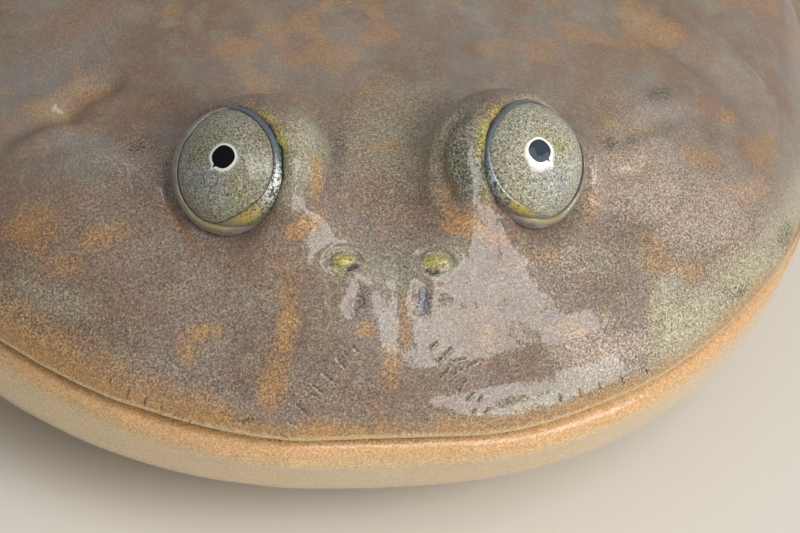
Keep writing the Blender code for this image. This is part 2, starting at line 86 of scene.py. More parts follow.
def linear(colour: Hex) -> Row:
    """Turn an sRGB hex colour to linear light.

    Args:
        colour: six hex digits.

    Returns:
        Red, green, blue and full cover.
    """
    parts = [int(colour[k : k + 2], 16) / 255 for k in (0, 2, 4)]
    lit = [c / 12.92 if c <= 0.04045 else ((c + 0.055) / 1.055) ** 2.4 for c in parts]
    return *lit, 1.0


def deselect() -> None:
    """Leave edit mode and select nothing."""
    if bpy.context.object and bpy.context.object.mode != "OBJECT":
        bpy.ops.object.mode_set(mode="OBJECT")
    bpy.ops.object.select_all(action="DESELECT")


def take(piece: Piece) -> None:
    """Select one object alone and make it active."""
    deselect()
    piece.select_set(True)
    bpy.context.view_layer.objects.active = piece


def copy_of(node: str, name: str) -> Piece:
    """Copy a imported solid, without its material.

    Args:
        node: the solid's name.
        name: the copy's name.

    Returns:
        The copy, in the scene.
    """
    copy = bpy.data.objects.new(name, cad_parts[node].data.copy())
    bpy.context.scene.collection.objects.link(copy)
    copy.data.name = name
    copy.data.materials.clear()
    return copy


def fuse(piece: Piece, voxel: float, swell: float = 0.0) -> None:
    """Merge a piece's loose triangles and make it one even closed surface.

    Args:
        piece: the piece.
        voxel: the surface's face width, in millimetres.
        swell: how far the piece grows first, in millimetres.
    """
    take(piece)
    bpy.ops.object.mode_set(mode="EDIT")
    bpy.ops.mesh.select_all(action="SELECT")
    bpy.ops.mesh.remove_doubles(threshold=SAME_POINT * MM)
    bpy.ops.object.mode_set(mode="OBJECT")
    if swell:
        grown = piece.modifiers.new("swell", "DISPLACE")
        grown.mid_level = 0
        grown.strength = swell * MM
    even = piece.modifiers.new("even", "REMESH")
    even.mode = "VOXEL"
    even.voxel_size = voxel * MM
    for name in [m.name for m in piece.modifiers]:
        bpy.ops.object.modifier_apply(modifier=name)


def edit_faces(piece: Piece, chosen: Array) -> None:
    """Enter edit mode with only the chosen faces selected.

    Args:
        piece: the piece.
        chosen: true for each face to select.
    """
    take(piece)
    bpy.ops.object.mode_set(mode="EDIT")
    bpy.ops.mesh.select_mode(type="FACE")
    bpy.ops.mesh.select_all(action="DESELECT")
    bpy.ops.object.mode_set(mode="OBJECT")
    piece.data.polygons.foreach_set("select", chosen)
    bpy.ops.object.mode_set(mode="EDIT")


def round_off(piece: Piece, *finishes: Finish) -> None:
    """Shade a piece smooth and put its materials on."""
    piece.data.polygons.foreach_set("use_smooth", np.ones(len(piece.data.polygons), bool))
    for finish in finishes:
        piece.data.materials.append(finish)


def points_of(mesh: Mesh) -> Array:
    """Read where a mesh's vertices are.

    Args:
        mesh: the mesh.

    Returns:
        One place a row, in millimetres.
    """
    flat = np.empty(len(mesh.vertices) * 3, np.float64)
    mesh.vertices.foreach_get("co", flat)
    return flat.reshape(-1, 3) / MM


def put_points(mesh: Mesh, places: Array) -> None:
    """Write an array of places in millimetres back to a mesh."""
    mesh.vertices.foreach_set("co", (places * MM).ravel())
    mesh.update()


def centres_of(mesh: Mesh) -> Array:
    """Read where the middles of a mesh's faces are.

    Args:
        mesh: the mesh.

    Returns:
        One place a row, in millimetres.
    """
    flat = np.empty(len(mesh.polygons) * 3)
    mesh.polygons.foreach_get("center", flat)
    return flat.reshape(-1, 3) / MM


def normals_of(mesh: Mesh) -> Array:
    """Read a mesh's vertex normals.

    Args:
        mesh: the mesh.

    Returns:
        One normal a row.
    """
    flat = np.empty(len(mesh.vertices) * 3, np.float32)
    mesh.vertex_normals.foreach_get("vector", flat)
    return flat.reshape(-1, 3).astype(np.float64)


def edges_of(mesh: Mesh) -> Array:
    """Read a mesh's edges.

    Args:
        mesh: the mesh.

    Returns:
        Two vertex numbers a row.
    """
    flat = np.empty(len(mesh.edges) * 2, np.int32)
    mesh.edges.foreach_get("vertices", flat)
    return flat.reshape(-1, 2)


def averaged(places: Array, edges: Array) -> Array:
    """Find the middle of each vertex's neighbours.

    Args:
        places: the vertices.
        edges: pairs of vertex numbers.

    Returns:
        One place a vertex.
    """
    count = len(places)
    degree = np.maximum(np.bincount(edges.ravel(), minlength=count), 1)
    out = np.empty_like(places)
    for k in range(3):
        ahead = np.bincount(edges[:, 0], weights=places[edges[:, 1], k], minlength=count)
        back = np.bincount(edges[:, 1], weights=places[edges[:, 0], k], minlength=count)
        out[:, k] = (ahead + back) / degree
    return out


def relaxed(
    places: Array, edges: Array, steps: int, share: Array | float = 1.0, pulls: Sequence[float] = (0.5, -0.52)
) -> Array:
    """Even out a surface, as set without letting it shrink.

    Args:
        places: the vertices.
        edges: pairs of vertex numbers.
        steps: how many times to smooth and swell back.
        share: how much of each move a vertex makes.
        pulls: the parts of a step, each a share of the way to the middle of the neighbours.

    Returns:
        The new places.
    """
    weight = np.broadcast_to(np.asarray(share, float), (len(places),))
    moving = weight > 0.001
    touched = edges[moving[edges].any(axis=1)]
    used = np.unique(touched)
    number = np.zeros(len(places), np.int64)
    number[used] = np.arange(len(used))
    part, links, weight = places[used], number[touched], (weight * moving)[used][:, None]
    for _ in range(steps):
        for pull in pulls:
            part = part + (averaged(part, links) - part) * pull * weight
    out = places.copy()
    out[used] = part
    return out


def eased(value: Array, low: float, high: float) -> Array:
    """Rise smoothly from 0 at low to 1 at high."""
    t = np.clip((value - low) / (high - low), 0, 1)
    return t * t * (3 - 2 * t)


def bell(distance: Array, width: float) -> Array:
    """Fall smoothly from 1 at no distance, with the given spread."""
    return np.exp(-((distance / width) ** 2))


def through(known: Sequence[Place], at: Array, turn: float = 0.0) -> Array:
    """Read a smooth curve through known points.

    Args:
        known: pairs of place and value, in order.
        at: the places asked for.
        turn: the length of one full turn, where the curve repeats, or 0.

    Returns:
        The value at each place.
    """
    xs = [k[0] for k in known]
    ys = [k[1] for k in known]
    if turn:
        xs = [xs[-2] - turn, xs[-1] - turn, *xs, xs[0] + turn, xs[1] + turn]
        ys = [ys[-2], ys[-1], *ys, ys[0], ys[1]]
        at = (at - known[0][0]) % turn + known[0][0]
    x, y = np.array(xs), np.array(ys)
    slope = np.gradient(y, x)
    k = np.clip(np.searchsorted(x, at) - 1, 0, len(x) - 2)
    width = x[k + 1] - x[k]
    t = np.clip((at - x[k]) / width, 0, 1)
    start = (1 + 2 * t) * (1 - t) ** 2 * y[k] + t * (1 - t) ** 2 * width * slope[k]
    return start + t * t * (3 - 2 * t) * y[k + 1] + t * t * (t - 1) * width * slope[k + 1]


def turned(x: Array, y: Array, lean: float) -> tuple[Array, Array]:
    """Measure places on a plane along a leaning line.

    Args:
        x: how far each place lies to the right.
        y: how far up.
        lean: the line's lean against the clock, in degrees.

    Returns:
        How far each lies along the line, and how far aside.
    """
    a = math.radians(lean)
    return x * math.cos(a) + y * math.sin(a), y * math.cos(a) - x * math.sin(a)


def wrapped(angle: Array) -> Array:
    """Bring angles in degrees to between -180 and 180."""
    return (angle + 180) % 360 - 180


def near_line(places: Array, line: Array) -> tuple[Array, Array]:
    """Measure how far places lie from a line of points.

    Args:
        places: the places asked about.
        line: the line's points, in order.

    Returns:
        The distance to the line, and how far along it the nearest point is, from 0 to 1.
    """
    best = np.full(len(places), np.inf)
    along = np.zeros(len(places))
    spans = len(line) - 1
    for k in range(spans):
        start, way = line[k], line[k + 1] - line[k]
        t = np.clip(((places - start) @ way) / max(way @ way, 1e-12), 0, 1)
        gap = np.linalg.norm(places - start - t[:, None] * way, axis=1)
        closer = gap < best
        best = np.where(closer, gap, best)
        along = np.where(closer, (k + t) / spans, along)
    return best, along


def speckle(places: Array, size: float, seed: int) -> Array:
    """Return smooth random values from 0 to 1 that change over the given size.

    Args:
        places: where they are read, in millimetres.
        size: the typical width of a blotch.
        seed: which pattern.

    Returns:
        One value a place.
    """
    cells = places / size + seed * 17.3
    base = np.floor(cells).astype(np.int64)
    part = cells - base
    part = part * part * (3 - 2 * part)
    total = np.zeros(len(places))
    for corner in range(8):
        step = np.array([corner & 1, corner >> 1 & 1, corner >> 2 & 1])
        c = base + step
        mixed = (c[:, 0] * 73856093) ^ (c[:, 1] * 19349663) ^ (c[:, 2] * 83492791) ^ (seed * 2654435761)
        mixed = (mixed ^ (mixed >> 13)) * 1274126177 & 0x7FFFFFFF
        value = ((mixed ^ (mixed >> 16)) & 0xFFFF) / 65535
        share = np.prod(np.where(step == 1, part, 1 - part), axis=1)
        total += value * share
    return total


def cloudy(places: Array, size: float, seed: int, layers: int = 3) -> Array:
    """Lay finer and finer random values on one another.

    Args:
        places: where they are read, in millimetres.
        size: the typical width of the broadest blotches.
        seed: which pattern.
        layers: how many sizes there are, each half the last.

    Returns:
        One value a place, around one half.
    """
    total, weight = np.zeros(len(places)), 0.0
    for k in range(layers):
        total += speckle(places, size / 2**k, seed + k) / 1.7**k
        weight += 1 / 1.7**k
    return total / weight


def feed(tree: Tree, node: Node, inputs: dict | Sequence) -> None:
    """Set a node's inputs.

    Args:
        tree: the node tree.
        node: the node.
        inputs: values, or sockets that feed them: by name or number, or one after the other from the first.
    """
    for key, value in (inputs.items() if isinstance(inputs, dict) else enumerate(inputs)):
        if isinstance(value, Socket):
            tree.links.new(value, node.inputs[key])
        else:
            node.inputs[key].default_value = value


def add_node(tree: Tree, kind: str, settings: dict | None = None, inputs: dict | Sequence = ()) -> Node:
    """Add one shader node.

    Args:
        tree: the node tree it goes in.
        kind: the node's type name.
        settings: its properties.
        inputs: what its inputs get, as feed() takes them.

    Returns:
        The new node.
    """
    node = tree.nodes.new(kind)
    for name, value in (settings or {}).items():
        setattr(node, name, value)
    feed(tree, node, inputs)
    return node


def outward(bearing: float, height: float) -> Vector:
    """Find the way to something that stands round the frog.

    Args:
        bearing: degrees from straight ahead of the snout, towards the frog's left.
        height: degrees above the floor.

    Returns:
        The way there, of length 1.
    """
    a, e = math.radians(bearing), math.radians(height)
    return Vector((math.sin(a) * math.cos(e), -math.cos(a) * math.cos(e), math.sin(e)))


@dataclass(frozen=True)
class Sight:
    """The photograph's view of the frog, in millimetres and degrees."""

    target: tuple[float, float, float] = (0.59, -50.92, 20.01)
    bearing: float = -10.74
    height: float = 36.35
    roll: float = 4.99
    distance: float = 221.0
    lens: float = 178.0
    sensor: float = 36.0
    wide: int = 800
    high: int = 533

    def way(self) -> Vector:
        """Return the direction from the frog to the camera."""
        return outward(self.bearing, self.height)

    def turn(self) -> Quaternion:
        """Return the camera's turn."""
        level = (-self.way()).to_track_quat("-Z", "Y")
        return level @ Quaternion((0, 0, 1), math.radians(self.roll))

    def stand(self) -> Vector:
        """Return the camera's place, in millimetres."""
        return Vector(self.target) + self.way() * self.distance

    def ray(self, across: float, down: float) -> Vector:
        """Find the direction in which the camera sees a place of its frame.

        Args:
            across: pixels from the frame's left edge.
            down: pixels from its top edge.

        Returns:
            The direction, of length 1.
        """
        scale = self.sensor / self.lens / self.wide
        local = Vector(((across - self.wide / 2) * scale, (self.high / 2 - down) * scale, -1))
        return (self.turn() @ local).normalized()

    def seen(self, places: Array) -> Arrays:
        """Find where the camera's frame shows each place.

        Args:
            places: one a row, in millimetres.

        Returns:
            Pixels across, pixels down, and depth from the camera in millimetres.
        """
        local = (places - np.array(self.stand())) @ np.array(self.turn().to_matrix())
        scale = self.lens / self.sensor * self.wide / -local[:, 2]
        return self.wide / 2 + local[:, 0] * scale, self.high / 2 - local[:, 1] * scale, -local[:, 2]

    def sideways(self, face: Array) -> tuple[Array, Array]:
        """Find the frame's directions on a surface.

        Args:
            face: the way that the surface faces.

        Returns:
            The ways along the surface that the frame shows as across and as up.
        """
        right = np.array(self.turn().to_matrix())[:, 0]
        across = right - face * (right @ face)
        across /= np.linalg.norm(across)
        return across, np.cross(face, across)

    def camera(self) -> None:
        """Set up the camera."""
        lens = bpy.data.cameras.new("camera")
        lens.lens = self.lens
        lens.sensor_width = self.sensor
        lens.clip_start = 0.005
        lens.clip_end = 20.0
        holder = bpy.data.objects.new("camera", lens)
        bpy.context.scene.collection.objects.link(holder)
        holder.location = self.stand() * MM
        holder.rotation_euler = self.turn().to_euler()
        bpy.context.scene.camera = holder


SIGHT = Sight()


MULTIPLY_COLOURS = {"data_type": "RGBA", "blend_type": "MULTIPLY"}
MULTIPLY_ADD = {"operation": "MULTIPLY_ADD"}


class Grain(Enum):
    """The two kinds of random pattern: soft clouds, and cells that each have one value."""

    CLOUDS = "clouds"
    CELLS = "cells"


def principled(name: str, *laid: str) -> tuple[Finish, Tree, Node, dict[str, Socket]]:
    """Start a material.

    Args:
        name: what the material is.
        laid: the names of the values that its piece carries at the vertices.

    Returns:
        The material, its node tree, its Principled node, and a socket for each of those values.
    """
    mat = bpy.data.materials.new(name)
    mat.use_nodes = True
    tree = mat.node_tree
    sockets = {n: add_node(tree, "ShaderNodeAttribute", {"attribute_name": n}).outputs["Fac"] for n in laid}
    return mat, tree, tree.nodes["Principled BSDF"], sockets


def grains(tree: Tree, size: float, kind: Grain = Grain.CLOUDS, detail: float = 1.0) -> Socket:
    """Make a random pattern on the piece's own coordinates.

    Args:
        tree: the node tree.
        size: how wide a grain is, in millimetres.
        kind: which pattern.
        detail: how many finer layers the clouds have.

    Returns:
        The pattern's value, about 0 to 1.
    """
    place = add_node(tree, "ShaderNodeTexCoord").outputs["Object"]
    if kind is Grain.CELLS:
        cells = add_node(tree, "ShaderNodeTexVoronoi", None, {"Vector": place, "Scale": 1 / (size * MM)})
        return add_node(tree, "ShaderNodeSeparateColor", None, (cells.outputs["Color"],)).outputs[0]
    clouds = {"Vector": place, "Scale": 0.8 / (size * MM), "Detail": detail, "Roughness": 0.55}
    return add_node(tree, "ShaderNodeTexNoise", None, clouds).outputs["Fac"]


def coated(tree: Tree, under: object, *coats: tuple) -> Socket:
    """Lay coats of colour on one another.

    Args:
        tree: the node tree.
        under: the ground, as a colour or a socket.
        coats: for each its hex colour and its pattern, then the pattern's values where the coat starts and is
            full, and its share there, if those aren't 0, 1 and 1.

    Returns:
        The colour of them all.
    """
    for colour, pattern, *limits in coats:
        start, full, most = limits or (0.0, 1.0, 1.0)
        share = add_node(tree, "ShaderNodeMapRange", None, (pattern, start, full, 0.0, most)).outputs[0]
        layers = {0: share, 6: under, 7: linear(colour)}
        under = add_node(tree, "ShaderNodeMix", {"data_type": "RGBA"}, layers).outputs[2]
    return under


# the coats that are painted on the skin, from the lowest up, and how each breaks up at its edge: one above 0
# gathers on the light grains of the skin, and one below 0 on the dark grains
COATS = {"olive": -0.4, "slate": -0.3, "rust": -0.3, "sage": 0.4, "ochre": 0.3, "cream": 0.3, "belly": 0.3,
         "pale": 0.4, "gold": 0.6, "blue": -0.3, "dark": -0.7}


@dataclass(frozen=True)
class WetSkin:
    """Frog skin: soft and granular, stippled with dark pigment cells, and shining under a thin wet film."""

    mauve: Hex = "82756b"
    brown: Hex = "735f51"
    olive: Hex = "87846f"
    ochre: Hex = "aa7f49"
    rust: Hex = "82624a"
    sage: Hex = "b0a98b"
    slate: Hex = "7f8380"
    cream: Hex = "c39c70"
    belly: Hex = "cab086"
    # dark is both the colour of the skin's dark spots and that of the painted shade in creases, grooves, slits
    # and on shaded sides
    dark: Hex = "3a3833"
    gold: Hex = "968a42"
    # pale is both the warts' own colour and that of the painted highlights and sheen
    pale: Hex = "bdaa9a"
    blue: Hex = "6f7690"
    # pigment cells are 0.03 to 0.1 mm across; all are as wide as the largest here, as finer ones don't show
    stipple: float = 0.094
    # then the widths of glands, of the broad clouds of colour and of the ripples in the film, and the relief
    glands: float = 1.1
    clouding: float = 6.0
    ripples: float = 0.5
    relief: float = 0.02

    def build(self) -> Finish:
        """Make the material."""
        mat, tree, skin, laid = principled("wet_frog_skin", *COATS, "calm")
        fine = grains(tree, self.stipple)
        dots = grains(tree, self.stipple, Grain.CELLS)
        mid = grains(tree, self.glands, detail=4.0)
        broad = grains(tree, self.clouding, detail=5.0)
        colour = coated(tree, linear(self.mauve), (self.brown, broad, 0.38, 0.62, 1.0),
                        (self.olive, mid, 0.5, 0.68, 0.5), (self.ochre, dots, 0.72, 0.92, 0.22),
                        (self.slate, dots, 0.4, 0.2, 0.15))
        broken = add_node(tree, "ShaderNodeMapRange", None, (fine, 0.3, 0.7, -0.5, 0.5)).outputs[0]
        for name, ragged in COATS.items():
            edge = add_node(tree, "ShaderNodeMath", MULTIPLY_ADD, (broken, ragged, laid[name])).outputs[0]
            most = add_node(tree, "ShaderNodeMapRange", None, (laid[name], 0.0, 0.25)).outputs[0]
            colour = coated(tree, colour, (getattr(self, name), edge, 0.0, 1.0, most))
        light = [add_node(tree, "ShaderNodeMapRange", None, limits).outputs[0]
                 for limits in ((fine, 0.28, 0.72, 0.54, 1.4), (dots, 0.0, 1.0, 0.7, 1.3))]
        light = add_node(tree, "ShaderNodeMath", {"operation": "MULTIPLY"}, light).outputs[0]
        light = coated(tree, light, ("ffffff", laid["calm"]))
        colour = add_node(tree, "ShaderNodeMix", MULTIPLY_COLOURS, {0: 1.0, 6: colour, 7: light}).outputs[2]
        swell = add_node(tree, "ShaderNodeMapRange", None, (mid, 0.0, 1.0, 0.0, 1.5)).outputs[0]
        height = add_node(tree, "ShaderNodeMath", {"operation": "ADD"}, (fine, swell)).outputs[0]
        ripples = grains(tree, self.ripples, detail=2.0)
        relief, film = (add_node(tree, "ShaderNodeBump", None, {
            "Height": pattern, "Distance": self.relief * MM, "Strength": strength}).outputs["Normal"]
            for pattern, strength in ((height, 0.8), (ripples, 1.0)))
        feed(tree, skin, {
            "Base Color": colour,
            "Roughness": add_node(tree, "ShaderNodeMapRange", None, (mid, 0.3, 0.7, 0.42, 0.62)).outputs[0],
            "Normal": relief,
            "IOR": 1.4,
            "Specular IOR Level": 0.3,
            "Subsurface Weight": 0.12,
            "Subsurface Radius": (1.0, 0.55, 0.35),
            "Subsurface Scale": 0.8 * MM,
            "Coat Weight": 1.0,
            "Coat Roughness": 0.05,
            "Coat IOR": 1.33,
            "Coat Normal": film,
        })
        return mat


@dataclass(frozen=True)
class WetIris:
    """An iris of pale guanine flecked with black pigment, seen through a smooth wet cornea."""

    cream: Hex = "a39e88"
    dark: Hex = "3c3a30"
    light: Hex = "d8d3bd"
    olive: Hex = "8d8d52"
    blue: Hex = "8b929c"
    brown: Hex = "8c7442"
    ring: Hex = "f1efe2"
    # the black cells are about 0.05 mm across, and are drawn twice as coarse so that they show
    fleck: float = 0.09

    def build(self) -> Finish:
        """Make the material."""
        mat, tree, iris, laid = principled("wet_iris", "blue", "olive", "brown", "from_pupil", "tone")
        fine = grains(tree, self.fleck)
        dots = grains(tree, self.fleck * 0.9, Grain.CELLS)
        broken = add_node(tree, "ShaderNodeMapRange", None, (fine, 0.3, 0.7, -0.5, 0.5)).outputs[0]
        ring = add_node(tree, "ShaderNodeMath", MULTIPLY_ADD, (broken, 0.1, laid["from_pupil"])).outputs[0]
        colour = coated(tree, linear(self.cream), (self.blue, laid["blue"]), (self.olive, laid["olive"]),
                        (self.brown, laid["brown"]), (self.light, dots, 0.6, 0.85, 0.65),
                        (self.dark, fine, 0.54, 0.36, 0.75), (self.ring, ring, 0.2, 0.08, 1.0))
        # the iris dimmed by painted shade where the ball's share is under 1
        tone = add_node(tree, "ShaderNodeCombineColor", None, (laid["tone"],) * 3).outputs["Color"]
        colour = add_node(tree, "ShaderNodeMix", MULTIPLY_COLOURS, {0: 1.0, 6: colour, 7: tone}).outputs[2]
        feed(tree, iris, {"Base Color": colour, "Roughness": 0.45, "Specular IOR Level": 0.2,
                          "Coat Weight": 1.0, "Coat Roughness": 0.03, "Coat IOR": 1.27})
        return mat


@dataclass(frozen=True)
class Pupil:
    """The black opening behind the cornea, with a painted grey-blue sheen that stands in for light caught on
    the cornea.
    """

    black: Hex = "0a0b0e"
    sheen_colour: Hex = "3a434b"

    def build(self) -> Finish:
        """Make the material."""
        mat, tree, pupil, laid = principled("pupil", "haze")
        # the painted sheen over the pupil
        colour = coated(tree, linear(self.black), (self.sheen_colour, laid["haze"]))
        feed(tree, pupil, {"Base Color": colour, "Roughness": 0.3, "Specular IOR Level": 0.0,
                           "Coat Weight": 1.0, "Coat IOR": 1.2, "Coat Roughness": 0.03})
        return mat


@dataclass(frozen=True)
class LidEdge:
    """The rolled edge of the upper lid: thin blue-grey skin, with silver and gold flecks next to the eye."""

    slate: Hex = "525c64"
    dark: Hex = "23252a"
    silver: Hex = "d9d8cb"
    gold: Hex = "9a8428"
    # the flecks are clusters of guanine cells, as wide as the cells of the skin
    fleck: float = 0.1
    relief: float = 0.02

    def build(self) -> Finish:
        """Make the material."""
        mat, tree, lid, laid = principled("wet_lid_edge", "gold", "silver", "speckled")
        fine = grains(tree, self.fleck)
        dots = grains(tree, self.fleck, Grain.CELLS)
        colour = coated(tree, linear(self.slate), (self.dark, fine, 0.35, 0.65, 0.35),
                        (self.gold, laid["gold"]), (self.silver, dots, 0.45, 0.6, laid["silver"]),
                        (self.dark, dots, 0.3, 0.18, laid["speckled"]))
        height = {"Height": dots, "Distance": self.relief * MM, "Strength": 0.6}
        relief = add_node(tree, "ShaderNodeBump", None, height)
        feed(tree, lid, {"Base Color": colour, "Roughness": 0.4, "Coat Weight": 1.0, "Coat Roughness": 0.05,
                         "Normal": relief.outputs["Normal"]})
        return mat


@dataclass(frozen=True)
class LowerLid:
    """The clear lower lid: a thin wet fold, grey-violet where the eye shows through, with a yellow edge."""

    violet: Hex = "857e79"
    shade: Hex = "696258"
    gold: Hex = "97893f"
    clouding: float = 0.35

    def build(self) -> Finish:
        """Make the material."""
        mat, tree, lid, laid = principled("clear_lower_lid", "gold")
        soft = grains(tree, self.clouding, detail=3.0)
        colour = coated(tree, linear(self.violet), (self.shade, soft, 0.35, 0.65, 1.0),
                        (self.gold, laid["gold"]))
        feed(tree, lid, {"Base Color": colour, "Roughness": 0.35, "Subsurface Weight": 0.3,
                         "Subsurface Radius": (1.0, 0.8, 0.8), "Subsurface Scale": 0.5 * MM,
                         "Coat Weight": 1.0, "Coat Roughness": 0.04})
        return mat


@dataclass(frozen=True)
class Horn:
    """Black keratin of the digging spade, ground smooth by use, with fine growth lines."""

    black: Hex = "1c1815"
    brown: Hex = "4a3b2c"
    growth: float = 0.25
    relief: float = 0.03

    def build(self) -> Finish:
        """Make the material."""
        mat, tree, horn, _ = principled("spade_keratin")
        lines = grains(tree, self.growth, detail=3.0)
        height = {"Height": lines, "Distance": self.relief * MM, "Strength": 0.6}
        relief = add_node(tree, "ShaderNodeBump", None, height)
        feed(tree, horn, {
            "Base Color": coated(tree, linear(self.black), (self.brown, lines, 0.45, 0.7, 1.0)),
            "Roughness": add_node(tree, "ShaderNodeMapRange", None, (lines, 0.3, 0.7, 0.25, 0.45)).outputs[0],
            "Normal": relief.outputs["Normal"],
        })
        return mat


@dataclass(frozen=True)
class FloorPaint:
    """The plain studio floor: matt paint put on with a roller, which leaves a fine even skin."""

    paint: Hex = "d9d5cc"
    stipple: float = 0.8
    relief: float = 0.02

    def build(self) -> Finish:
        """Make the material."""
        mat, tree, floor, _ = principled("floor_paint")
        skin = grains(tree, self.stipple, detail=3.0)
        height = {"Height": skin, "Distance": self.relief * MM, "Strength": 0.3}
        relief = add_node(tree, "ShaderNodeBump", None, height)
        feed(tree, floor, {
            "Base Color": linear(self.paint),
            "Roughness": add_node(tree, "ShaderNodeMapRange", None, (skin, 0.3, 0.7, 0.6, 0.72)).outputs[0],
            "Normal": relief.outputs["Normal"],
        })
        return mat


def give(mesh: Mesh, name: str, values: Array) -> None:
    """Store one value a vertex under a name that a finish reads."""
    layer = mesh.attributes.get(name) or mesh.attributes.new(name, "FLOAT", "POINT")
    layer.data.foreach_set("value", np.clip(values, -10, 10).astype(np.float32))


@dataclass(frozen=True)
class Patch:
    """A patch of colour: its middle and half size in pixels, its lean in degrees and its strength."""

    across: float
    down: float
    wide: float
    high: float
    lean: float
    strength: float


@dataclass(frozen=True)
class Crease:
    """A furrow along pixels of the frame, with its sizes in millimetres. One of negative depth is a ridge."""

    line: tuple[Place, ...]
    width: float
    depth: float


